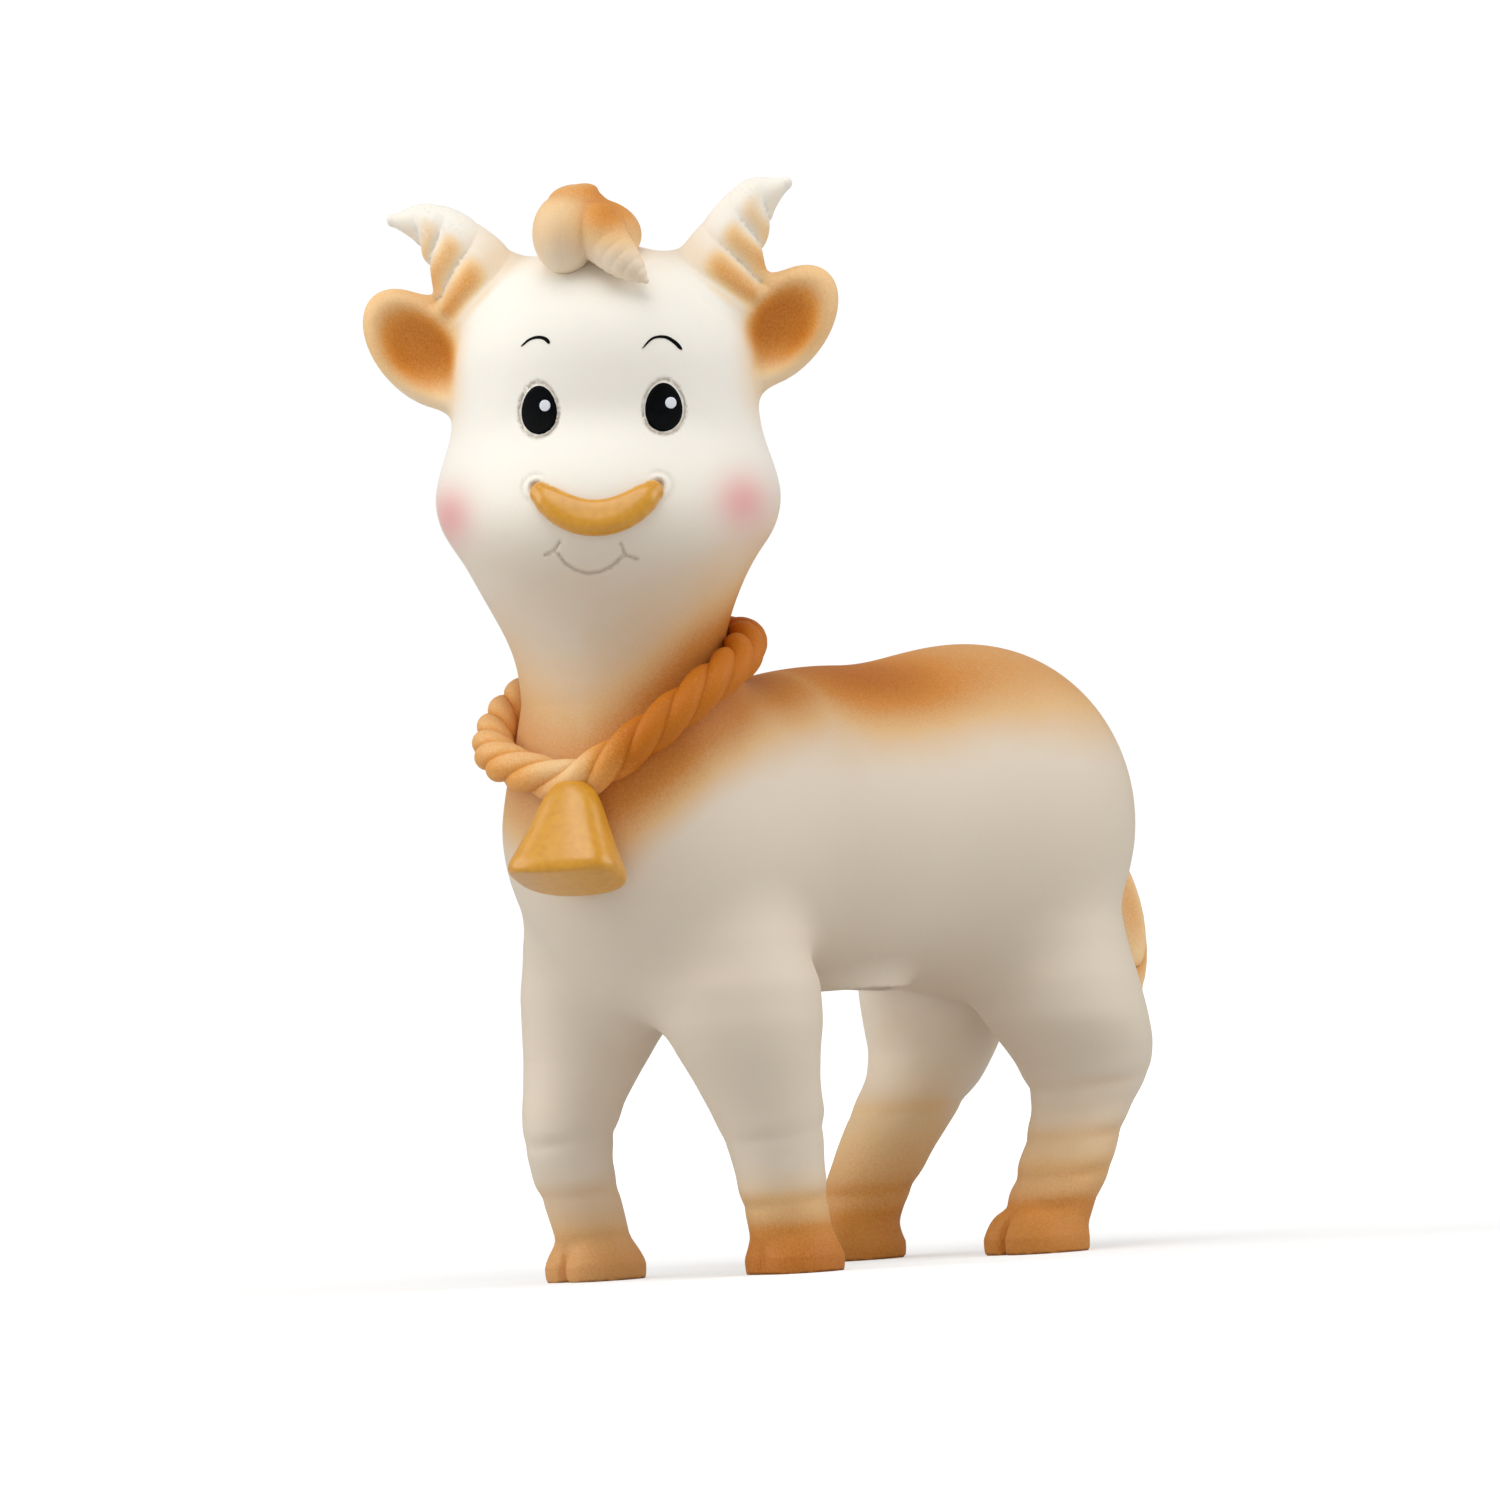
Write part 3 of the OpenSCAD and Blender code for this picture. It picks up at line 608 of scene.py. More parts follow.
@dataclass
class Skin:
    """The hollow casting: trunk, legs, neck, head, ears and horns as one sculpted surface."""

    neck_y: float = NECK_Y
    head_turn: float = 45.0
    head_lean: float = 2.0
    lean_height: float = 117.25
    body_step: float = 0.8
    head_step: float = 0.42
    seat_y: float = 3.7
    seat_radius: float = 8.6

    def to_head(self, p: Array) -> Array:
        """Points in the head's own axes: to the side, ahead and up.

        Args:
            p: points in millimetres in the part's frame.

        Returns:
            The same points in the head's axes.
        """
        turn, lean = math.radians(self.head_turn), math.radians(self.head_lean)
        x, y, up = p[:, 0], p[:, 1] - self.neck_y, p[:, 2] - self.lean_height
        side = x * math.cos(turn) + y * math.sin(turn)
        ahead = x * math.sin(turn) - y * math.cos(turn)
        across = side * math.cos(lean) - up * math.sin(lean)
        return np.stack([across, ahead, self.lean_height + up * math.cos(lean) + side * math.sin(lean)], 1)

    def from_head(self, q: Array) -> Array:
        """Points of the head's own axes, in the part's frame.

        Args:
            q: points in the head's axes.

        Returns:
            The same points in the part's frame.
        """
        turn, lean = math.radians(self.head_turn), math.radians(self.head_lean)
        up = q[:, 2] - self.lean_height
        side = q[:, 0] * math.cos(lean) + up * math.sin(lean)
        rise = up * math.cos(lean) - q[:, 0] * math.sin(lean)
        x = side * math.cos(turn) + q[:, 1] * math.sin(turn)
        y = side * math.sin(turn) - q[:, 1] * math.cos(turn)
        return np.stack([x, self.neck_y + y, self.lean_height + rise], 1)

    def seam(self, p: Array) -> Array:
        """Distance above the cut where the head plugs into the trunk, hidden by the collar."""
        return collar_lift(p, 12.0) * 0.8

    def trunk(self, p: Array) -> Array:
        """Trunk and neck.

        Args:
            p: points in millimetres in the part's frame.

        Returns:
            The distance of each point.
        """
        d = ellipsoid(p, (0, 4, 65.5), (24.0, 42, 24.0))
        d = union(d, ellipsoid(p, (0.3, -31.3, 62.5), (19.6, 19.3, 25)), 12)
        d = union(d, ellipsoid(p, (0, 34.2, 64.9), (24.3, 24.0, 26.4)), 12)
        joints = [
            (0, self.neck_y + 1, 68, 17.2), (0.8, self.neck_y + 0.7, 86, 15.2), (0.3, self.neck_y, 104, 15.8),
        ]
        neck = limb(p, joints)
        d = union(d, neck, 9)
        fold = limb(p, [(18.5, -10, 44.2, 0.1), (20.5, 3, 44.8, 0.1), (20.0, 15, 47.0, 0.1)])
        boss = np.maximum(np.hypot(p[:, 0], p[:, 1] - self.seat_y) - 11.0, np.abs(p[:, 2] - 47.0) - 5.9)
        return union(d + 0.4 * np.exp(-((fold / 1.4) ** 2)), boss, 2.6)

    def legs(self, p: Array) -> Array:
        """The four legs.

        Args:
            p: points in millimetres in the part's frame.

        Returns:
            The distance of each point.
        """
        total = None
        for leg in LEGS.values():
            d = leg.field(p)
            total = d if total is None else union(total, d, 2.0)
        return total

    def skull(self, q: Array) -> Array:
        """Head without ears, horns and engraved marks, in its own axes.

        Args:
            q: points in the head's axes.

        Returns:
            The distance of each point.
        """
        d = ellipsoid(q, (0, -1.0, 134), (22.4, 21, 19.4))
        d = union(d, ellipsoid(q, (0.2, 0, 115.6), (25.5, 22.5, 16.2)), 9)
        d = union(d, ellipsoid(q, (0, 13.5, 112.5), (17.5, 14.5, 11.5)), 7)
        d = union(d, ellipsoid(q, (0, 1, 106), (18, 18, 13)), 6)
        return d

    def marks(self, q: Array) -> Array:
        """Depth of the lines and dimples cut into the face.

        Args:
            q: points in the head's axes.

        Returns:
            The depth at each point.
        """
        side, up = q[:, 0], q[:, 2]
        depth = np.zeros(len(q))
        for eye in EYES:
            ragged = 1 + 0.022 * np.sin(9 * side) * np.cos(7 * up)
            outline = eye.egg(side, up, eye.ring_width / 2, eye.ring_height / 2)
            gap = (outline * ragged - 1) * eye.ring_width / 2
            depth += 0.34 * np.exp(-((gap / 0.2) ** 2))
        flat = np.stack([side, up], 1)
        for stroke in MOUTH:
            depth += 0.34 * np.exp(-((line_distance(flat, stroke) / 0.22) ** 2))
        for centre in (-8.8, 9.0):
            away = np.hypot(side - centre, (up - 117.0) / 1.1)
            rim = np.hypot(side - centre, up - 117.0)
            outer = ease(-1.2, 1.0, (side - centre) * np.sign(centre) + 0.5 * (up - 117.0))
            depth += 0.8 * np.exp(-((away / 0.9) ** 2)) - 0.35 * np.exp(-(((rim - 1.4) / 0.5) ** 2)) * outer
            depth += 0.16 * np.exp(-(((rim - 2.1) / 0.3) ** 2)) * outer
        return depth * ease(6, 12, q[:, 1])

    def ears(self, q: Array) -> Array:
        """Both ears, cupped forward, in the head's axes.

        Args:
            q: points in the head's axes.

        Returns:
            The distance of each point.
        """
        total = None
        for centre_x, centre_z in EARS:
            def cup(r: Array) -> Array:
                s = ear_frame(r, centre_x, centre_z)
                d = ellipsoid(s, (0, 0, 0), (10.4, 3.6, 6.5))
                return carve(d, ellipsoid(s, (-0.8, 4.4, 0), (9.0, 5.0, 5.1)), 1.8)
            low = (8 if centre_x > 0 else -46, -18, 120)
            high = (low[0] + 38, 16, 160)
            d = near(q, low, high, cup)
            total = d if total is None else np.minimum(total, d)
        return total

    def horns(self, q: Array) -> Array:
        """Both horns, in the head's axes."""
        return np.minimum(*(self.horn(q, joints) for joints in HORNS))

    def horn(self, q: Array, joints: Sequence[Point4]) -> Array:
        """Distance to one horn: a bent cone with broad lobes between winding grooves.

        Args:
            q: points in the head's axes.
            joints: the horn's joints.

        Returns:
            The distance of each point.
        """
        sign = np.sign(joints[0][0])
        low = (min(0, sign * 42), -18, 128)
        high = (max(0, sign * 42), 16, 172)

        def spike(r: Array) -> Array:
            at = winding(r, joints)
            strength = (0.3 + 0.7 * at.outer) * ease(0.0, 0.12, at.share) * at.radius / 4.6
            lobe = np.abs(np.sin(math.pi * at.wind)) ** 0.7
            radius = at.radius * 0.93 + strength * (0.75 * lobe - 0.2)
            return (at.off - radius) * 0.9

        return near(q, low, high, spike)

    def head(self, q: Array) -> Array:
        """Whole head in its own axes.

        Args:
            q: points in the head's axes.

        Returns:
            The distance of each point.
        """
        d = union(self.skull(q), self.ears(q), 3.2)
        d = union(d, self.horns(q), 3.6)
        return d + near(q, (-16, 6, 100), (17, 40, 142), self.marks, 0.0)

    def field(self, p: Array) -> Array:
        """Distance to the whole casting, before its seam and the squeaker's seat are cut.

        Args:
            p: points in millimetres in the part's frame.

        Returns:
            The distance of each point.
        """
        legs = near(p, (-40, -60, -5), (40, 62, 68), self.legs)
        d = union(self.trunk(p), legs, 5)
        d = union(d, self.head(self.to_head(p)), 7)
        return np.maximum(d, -p[:, 2])

    def lower(self, p: Array) -> Array:
        """Distance to the trunk's piece: below the seam, with a seat for the squeaker.

        Args:
            p: points in millimetres in the part's frame.

        Returns:
            The distance of each point.
        """
        seat = np.hypot(p[:, 0], p[:, 1] - self.seat_y) - self.seat_radius
        seat = np.maximum(seat, p[:, 2] - 53)
        return np.maximum(np.maximum(self.field(p), self.seam(p)), -seat)

    def upper(self, p: Array) -> Array:
        """Distance to the head's piece: above the seam."""
        return np.maximum(self.field(p), -self.seam(p))


SKIN = Skin()


# ---- Airbrush --------------------------------------------------------------------------------


# Height where the amber on each leg fades out, and how strong it is at the hoof.
LEG_SPRAY = {
    "front_right": (21, 0.54),
    "front_left": (20, 0.80),
    "hind_right": (36, 0.66),
    "hind_left": (30, 0.68),
}


def airbrush(p: Array) -> Array:
    """How much amber is sprayed on the trunk, legs, neck and head: 0 is bare ivory, 1 the deepest.

    Args:
        p: points in millimetres in the part's frame.

    Returns:
        The amber at each point.
    """
    x, y, z = p.T
    q = SKIN.to_head(p)
    lift = collar_lift(p)
    reach = np.hypot(x, y - SKIN.neck_y)
    right_side = ease(-14, 10, 0.669 * x + 0.743 * (y - SKIN.neck_y))
    above = ease(28, 3, lift) * ease(-3, 1, lift) * (0.35 - 0.04 * right_side) * ease(34, 24, reach)
    core = bump(lift, 3.0, 5.5) * (0.14 + 0.25 * right_side) * ease(30, 22, reach)
    below = ease(-20, -5, lift) * ease(2, -1, lift) * (0.50 + 0.32 * right_side) * ease(46, 24, reach)
    back = ease(72, 90, z + 0.08 * np.abs(y - 20)) * ease(-22, 0, y) * 0.51
    saddle = 0.42 * np.exp(-(((y - 6) / 15) ** 2 + ((z - 86.5) / 6.0) ** 2)) * ease(-16, -4, y)
    rump = 0.53 * ease(44, 60, y) * ease(58, 76, z)
    amber = np.maximum.reduce([above + core, below, back + saddle, rump])
    low = np.zeros(len(p))
    for name, (top, gain) in LEG_SPRAY.items():
        leg = LEGS[name]
        mine = ease(14, 9, np.hypot(x - leg.x, (y - leg.hoof_y - 3) * 0.72))
        fade = ease(top, 1, z) ** 1.3 * 0.9 + 0.14 * ease(8.6, 5.0, z) + 0.08 * bump(z, 6.8, 0.9)
        rings = sum(0.12 * bump(z, height - 2.0, 1.2) for height in leg.wrinkles if height < top)
        low = np.maximum(low, mine * gain * np.clip(fade + rings * ease(top, top - 8, z), 0, 1))
    side, ahead, up = q.T
    crown = 0.13 * ease(147, 155, up)
    temples = 0.38 * bump(np.abs(side), 24.5, 3.4) * ease(122, 138, up) * ease(152, 144, up)
    jaw = 0.20 * ease(112, 100, up) * ease(12, 22, side)
    behind = 0.5 * ease(4, -12, ahead) * ease(112, 130, up)
    face = np.maximum.reduce([crown, temples, jaw, behind]) * ease(92, 100, z)
    return np.clip(np.maximum.reduce([amber, low, face]), 0, 1)


def ear_brush(q: Array) -> Array:
    """Amber on the ears, deepest in the dish and pale on the rim, in the head's axes.

    Args:
        q: points in the head's axes.

    Returns:
        The amber at each point.
    """
    total = np.zeros(len(q))
    for centre_side, centre_up in EARS:
        s = ear_frame(q, centre_side, centre_up)
        mine = q[:, 0] * centre_side > 0
        radius = np.hypot((s[:, 0] + 0.8) / 9.6, s[:, 2] / 6.2)
        dish = ease(1.0, 0.45, radius) * ease(-1.5, 0.5, s[:, 1] + 2.2)
        low = ease(-1.0, -7.5, q[:, 2] - centre_up)
        total = np.where(mine, (0.42 + 0.42 * dish) * (1 - 0.45 * low), total)
    return total


def horn_brush(q: Array) -> Array:
    """Amber on the outer and lower end of each horn's lobes, in the head's axes.

    Args:
        q: points in the head's axes.

    Returns:
        The amber at each point.
    """
    total = np.zeros(len(q))
    for joints in HORNS:
        mine = q[:, 0] * joints[0][0] > 0
        at = winding(q[mine], joints)
        lobe = np.abs(np.sin(math.pi * at.wind))
        end = ease(0.45, 1.0, at.outer)
        total[mine] = 0.03 + 0.46 * lobe * end * ease(1.05, 0.3, at.share) + 0.12 * ease(0.5, 0.1, at.share)
    return total


def blush(q: Array) -> Array:
    """Pink on the cheeks, in the head's axes.

    Args:
        q: points in the head's axes.

    Returns:
        The pink at each point.
    """
    total = np.zeros(len(q))
    for side, up in ((20.8, 114.8), (-22.6, 113.4)):
        total += np.exp(-(((q[:, 0] - side) / 3.6) ** 2 + ((q[:, 2] - up) / 4.2) ** 2))
    return total * ease(0, 6, q[:, 1])


# ---- Finishes --------------------------------------------------------------------------------


def new_material(name: str) -> tuple[bpy.types.Material, bpy.types.NodeTree, bpy.types.Node]:
    """Make an empty node material.

    Args:
        name: the material's name.

    Returns:
        The material, its tree and its Principled shader.
    """
    material = bpy.data.materials.new(name)
    material.use_nodes = True
    tree = material.node_tree
    tree.nodes.clear()
    shader = add_node(tree, "ShaderNodeBsdfPrincipled")
    add_node(tree, "ShaderNodeOutputMaterial", {"Surface": shader.outputs["BSDF"]})
    return material, tree, shader


def grain(tree: bpy.types.NodeTree, size_mm: float, detail: float = 2.0) -> bpy.types.NodeSocket:
    """Noise whose blotches are about a given size, on Object coordinates.

    Args:
        tree: the node tree.
        size_mm: size of the blotches in millimetres.
        detail: the noise's detail.

    Returns:
        The noise's socket.
    """
    place = add_node(tree, "ShaderNodeTexCoord").outputs["Object"]
    values = {"Vector": place, "Scale": 1 / (size_mm * MM), "Detail": detail}
    return add_node(tree, "ShaderNodeTexNoise", values).outputs["Fac"]


def ramp(
    tree: bpy.types.NodeTree, fac: bpy.types.NodeSocket, *stops: tuple[float, str]
) -> bpy.types.NodeSocket:
    """Colour ramp through hex colours at given places.

    Args:
        tree: the node tree.
        fac: the socket that drives the ramp.
        stops: place and hex colour of each stop.

    Returns:
        The ramp's colour socket.
    """
    node = add_node(tree, "ShaderNodeValToRGB", {"Fac": fac})
    band = node.color_ramp
    for at, _ in stops[2:]:
        band.elements.new(at)
    for element, (at, code) in zip(band.elements, stops):
        element.position = at
        element.color = linear(code)
    return node.outputs["Color"]


@dataclass(frozen=True)
class AirbrushedLatex:
    """Rotation-moulded natural rubber latex: matte, a little soft to the light, sprayed with amber by hand.

    The spray lies as a fine speckle about 0.3 mm across, and the mould's blasted face leaves a faint grain.
    """

    name: str
    ivory: str = "#F5F0E5"
    # Painted shade: a greyer beige multiplied over the trunk, legs, neck, lower head and tuft, which the lamps
    # light less than the face.
    painted_shade_tint: str = "#EBE1D6"
    pale_amber: str = "#F4D09C"
    mid_amber: str = "#E39D4A"
    deep_amber: str = "#C46E00"
    pink: str = "#EE9A9C"
    # Painted shade: greyish brown laid into the engraved lines and nostril dimples.
    painted_crease_shade: str = "#A9917A"
    roughness: float = 0.56
    speckle_mm: float = 0.32
    cloud_mm: float = 9.0

    def build(self) -> bpy.types.Material:
        """Make the material. It reads the attributes amber, pink, painted_crease_shade and painted_shade; the
        last two paint shade into the engraved lines and over the lower, shaded parts.

        Returns:
            The material.
        """
        material, tree, shader = new_material(self.name)
        amber, pink, painted_crease_shade = (
            add_node(tree, "ShaderNodeAttribute", attribute_name=name).outputs["Fac"]
            for name in ("amber", "pink", "painted_crease_shade")
        )
        speckle, cloud = (
            add_node(tree, "ShaderNodeMath", {0: grain(tree, size), 1: 0.5}, operation="SUBTRACT")
            for size in (self.speckle_mm, self.cloud_mm)
        )
        spread = add_node(tree, "ShaderNodeMath", {0: amber, 1: 0.45, 2: 0.03}, operation="MULTIPLY_ADD")
        spotted = add_node(
            tree, "ShaderNodeMath", {0: speckle.outputs[0], 1: spread.outputs[0], 2: amber},
            operation="MULTIPLY_ADD",
        )
        clouded = add_node(
            tree, "ShaderNodeMath", {0: cloud.outputs[0], 1: 0.10, 2: spotted.outputs[0]},
            operation="MULTIPLY_ADD",
        )
        colour = ramp(
            tree, clouded.outputs[0],
            (0.02, self.ivory), (0.34, self.pale_amber), (0.66, self.mid_amber), (0.98, self.deep_amber),
        )
        # Painted shade: the colour is multiplied by the greyer tint as far as the painted_shade attribute says.
        painted_shade = add_node(tree, "ShaderNodeAttribute", attribute_name="painted_shade").outputs["Fac"]
        colour = add_node(
            tree, "ShaderNodeMix", {0: painted_shade, 6: colour, 7: linear(self.painted_shade_tint)}, data_type="RGBA",
            blend_type="MULTIPLY",
        ).outputs[2]
        # The pink is the cheeks' real paint; the second mix paints shade into the engraved lines.
        for mask, code, share in ((pink, self.pink, 0.70), (painted_crease_shade, self.painted_crease_shade, 0.5)):
            part = add_node(tree, "ShaderNodeMath", {0: mask, 1: share}, operation="MULTIPLY")
            mixed = add_node(
                tree, "ShaderNodeMix", {0: part.outputs[0], 6: colour, 7: linear(code)}, data_type="RGBA"
            )
            colour = mixed.outputs[2]
        tree.links.new(colour, shader.inputs["Base Color"])
        rough = add_node(
            tree, "ShaderNodeMapRange", {"Value": grain(tree, 2.5), "To Min": self.roughness - 0.05,
                                         "To Max": self.roughness + 0.06}
        )
        tree.links.new(rough.outputs[0], shader.inputs["Roughness"])
        relief = add_node(
            tree, "ShaderNodeBump", {"Height": grain(tree, 0.45, 3.0), "Strength": 0.22, "Distance": 0.00012}
        )
        tree.links.new(relief.outputs["Normal"], shader.inputs["Normal"])
        shader.inputs["IOR"].default_value = 1.5
        shader.inputs["Specular IOR Level"].default_value = 0.32
        shader.inputs["Subsurface Weight"].default_value = 0.10
        shader.inputs["Subsurface Radius"].default_value = (1.0, 0.65, 0.4)
        shader.inputs["Subsurface Scale"].default_value = 0.0022
        return material


@dataclass(frozen=True)
class BrushedOnPaint:
    """Flexible acrylic paint laid on rubber with a brush: an even, satin coat with faint strokes."""

    name: str
    light: str
    dark: str
    roughness: float = 0.4
    coat: float = 0.0
    specular: float = 0.5
    stroke_mm: float = 1.2

    def build(self) -> bpy.types.Material:
        """Make the material.

        Returns:
            The material.
        """
        material, tree, shader = new_material(self.name)
        colour = ramp(tree, grain(tree, self.stroke_mm, 4.0), (0.30, self.dark), (0.62, self.light))
        tree.links.new(colour, shader.inputs["Base Color"])
        rough = add_node(
            tree, "ShaderNodeMapRange", {"Value": grain(tree, 0.8), "To Min": self.roughness - 0.05,
                                         "To Max": self.roughness + 0.08}
        )
        tree.links.new(rough.outputs[0], shader.inputs["Roughness"])
        relief = add_node(
            tree, "ShaderNodeBump", {"Height": grain(tree, 0.5, 3.0), "Strength": 0.16, "Distance": 0.0001}
        )
        tree.links.new(relief.outputs["Normal"], shader.inputs["Normal"])
        shader.inputs["IOR"].default_value = 1.5
        shader.inputs["Specular IOR Level"].default_value = self.specular
        shader.inputs["Coat Weight"].default_value = self.coat
        shader.inputs["Coat Roughness"].default_value = 0.25
        return material


@dataclass(frozen=True)
class MouldedPolypropylene:
    """Injection-moulded polypropylene: milky, slightly waxy, with faint flow marks from the gate."""

    name: str
    light: str
    dark: str
    roughness: float = 0.38

    def build(self) -> bpy.types.Material:
        """Make the material.

        Returns:
            The material.
        """
        material, tree, shader = new_material(self.name)
        colour = ramp(tree, grain(tree, 3.0, 3.0), (0.35, self.dark), (0.65, self.light))
        tree.links.new(colour, shader.inputs["Base Color"])
        relief = add_node(
            tree, "ShaderNodeBump", {"Height": grain(tree, 0.3), "Strength": 0.12, "Distance": 0.00005}
        )
        tree.links.new(relief.outputs["Normal"], shader.inputs["Normal"])
        shader.inputs["Roughness"].default_value = self.roughness
        shader.inputs["IOR"].default_value = 1.49
        shader.inputs["Subsurface Weight"].default_value = 0.08
        shader.inputs["Subsurface Scale"].default_value = 0.001
        return material


LATEX = AirbrushedLatex("airbrushed_latex").build()
GOLD = BrushedOnPaint("gold_acrylic", "#D99A26", "#D09020", 0.30, 0.32).build()
BLACK = BrushedOnPaint("black_acrylic", "#08090B", "#030405", 0.5, specular=0.05).build()
WHITE = BrushedOnPaint("white_acrylic", "#E4E8EE", "#D6DBE3", 0.35, 0.2).build()
HOUSING = MouldedPolypropylene("white_polypropylene", "#EDEDE8", "#E2E1DA").build()
REED = MouldedPolypropylene("polyester_film", "#D8DDE0", "#C6CCD0", 0.22).build()


# ---- Building pieces -------------------------------------------------------------------------


@dataclass
class Cast:
    """A mesh taken from a field, with its normals."""

    points: Array
    faces: Array
    normals: Array

    @classmethod
    def of(cls, shape: Field, low: Point, high: Point, step: float, skin: Field | None = None) -> "Cast":
        """Polygonise a field.

        Args:
            shape: field of the piece, with any cuts.
            low: lowest corner of the region.
            high: highest corner of the region.
            step: size of a grid cell.
            skin: field without cuts, whose slope gives the normals.

        Returns:
            The mesh.
        """
        points, faces = polygonise(shape, low, high, step)
        slope = gradient(skin or shape, points, 0.12)
        if skin:
            cut = np.abs(skin(points)) > 0.15
            slope[cut] = gradient(shape, points[cut], 0.12)
        return cls(points, faces, slope / np.maximum(np.linalg.norm(slope, axis=1, keepdims=True), 1e-9))

    def part(self, chosen: Array) -> "Cast":
        """The faces chosen, with their own vertices.

        Args:
            chosen: which faces to keep.

        Returns:
            The chosen faces as a mesh of their own.
        """
        faces = self.faces[chosen]
        used, flat = np.unique(faces, return_inverse=True)
        return Cast(self.points[used], flat.reshape(faces.shape), self.normals[used])

    def holes(self) -> list[list[int]]:
        """Loops of vertex numbers round the mesh's holes, against the direction of the faces beside them.

        Returns:
            The loops.
        """
        count = len(self.points)
        starts = self.faces.ravel()
        ends = np.roll(self.faces, -1, axis=1).ravel()
        open_edge = ~np.isin(starts * count + ends, ends * count + starts)
        follow: dict[int, list[int]] = {}
        for start, end in zip(starts[open_edge].tolist(), ends[open_edge].tolist()):
            follow.setdefault(end, []).append(start)
        loops = []
        while follow:
            first = at = next(iter(follow))
            loop = []
            while True:
                loop.append(at)
                nexts = follow[at]
                step = nexts.pop()
                if not nexts:
                    del follow[at]
                at = step
                if at == first:
                    break
            loops.append(loop)
        return loops

    def piece(self, name: str, core: Array | None = None) -> bpy.types.Object:
        """Make the object with smooth normals.

        Args:
            name: the piece's name.
            core: a point deep inside; each hole is closed by a fan that dips towards it.

        Returns:
            The closed object.
        """
        points, faces = self.points, self.faces.tolist()
        normals = self.normals
        for loop in self.holes():
            middle = points[loop].mean(0)
            inward = core - middle
            apex = middle + inward / np.linalg.norm(inward) * min(3.0, len(loop) * 0.05)
            faces += [[a, b, len(points)] for a, b in zip(loop, loop[1:] + loop[:1])]
            points = np.vstack([points, apex])
            normals = np.vstack([normals, (0, 0, 0)])
        obj = make_object(name, points, faces)
        obj.data.normals_split_custom_set_from_vertices(normals.tolist())
        return obj


def dress(
    obj: bpy.types.Object, amber: Array, pink: Array | float = 0.0, painted_crease_shade: Array | float = 0.0,
    painted_shade: Array | float = 0.0,
) -> None:
    """Store the spray's masks and the painted shade masks on a latex piece.

    Args:
        obj: the piece.
        amber: how deep the amber spray is at each vertex.
        pink: how pink it is.
        painted_crease_shade: how much painted shade darkens an engraved line or dimple.
        painted_shade: how much of the greyer painted shade tint lies over the piece.
    """
    count = len(obj.data.vertices)
    for name, mask in (("amber", amber), ("pink", pink), ("painted_crease_shade", painted_crease_shade), ("painted_shade", painted_shade)):
        paint(obj, name, np.broadcast_to(mask, count))


@dataclass
class Casting:
    """The one-shot casting, cut at the collar, the ear roots and the horn roots."""

    def build(self) -> None:
        """Make and dress the trunk, head, ears and horns."""
        low, high = (-34, -64, -1.5), (34, 66, 102)
        body = Cast.of(SKIN.lower, low, high, SKIN.body_step, SKIN.field)
        trunk = body.piece("trunk_and_legs")
        points = mesh_points(trunk)
        x, y, z = points.T
        # Painted light: the upper inner side of the hind right leg, shaded by the trunk, keeps only 0.3 of the
        # painted shade tint and gets a faint amber.
        hind_leg_painted_light = ease(0, -6, x) * ease(8, 18, y) * ease(58, 46, z)
        dress(trunk, np.clip(airbrush(points) + 0.09 * hind_leg_painted_light, 0, 1), painted_shade=1.0 - 0.7 * hind_leg_painted_light)
        finish_piece(trunk, LATEX, "ivory_rubber", "body_skin")

        head = Cast.of(SKIN.upper, (-32, -72, 68), (34, -6, 166), SKIN.head_step, SKIN.field)
        middle = SKIN.to_head(head.points[head.faces].mean(1))
        skull, ears, horns = SKIN.skull(middle), SKIN.ears(middle), SKIN.horns(middle)
        is_horn = (horns < skull - 0.6) & (horns < ears)
        is_ear = (ears < skull - 0.6) & ~is_horn
        core = SKIN.from_head(np.array([(0.0, 0.0, 132.0)]))[0]
        pieces = {"head": ~is_horn & ~is_ear}
        for side in Side:
            mine = middle[:, 0] * side.value > 0
            pieces[f"ear_{side.name.lower()}"] = is_ear & mine
            pieces[f"horn_{side.name.lower()}"] = is_horn & mine
        nodes = {
            "head": "head_skin", "ear_left": "left_ear", "ear_right": "right_ear",
            "horn_left": "left_horn", "horn_right": "right_horn",
        }
        for name, chosen in pieces.items():
            obj = head.part(chosen).piece(name, core)
            points = mesh_points(obj)
            q = SKIN.to_head(points)
            ears, horns = SKIN.ears(q), SKIN.horns(q)
            amber = airbrush(points)
            on_ear = ease(3.5, 0.0, ears)
            on_horn = ease(1.6, 0.2, horns)
            amber = amber * (1 - on_ear) + ear_brush(q) * on_ear
            amber = amber * (1 - on_horn) + horn_brush(q) * on_horn
            # Painted shade in the engraved eye rings, mouth and nostrils, as strong as they are deep.
            painted_crease_shade = np.clip(near(q, (-16, 6, 100), (17, 40, 142), SKIN.marks, 0.0) / 0.34, 0, 1)
            # Painted shade on the head: full at the neck, fading out up to the cheeks.
            dress(obj, amber, blush(q), painted_crease_shade, ease(124, 100, points[:, 2]))
            finish_piece(obj, LATEX, "ivory_rubber", nodes[name])


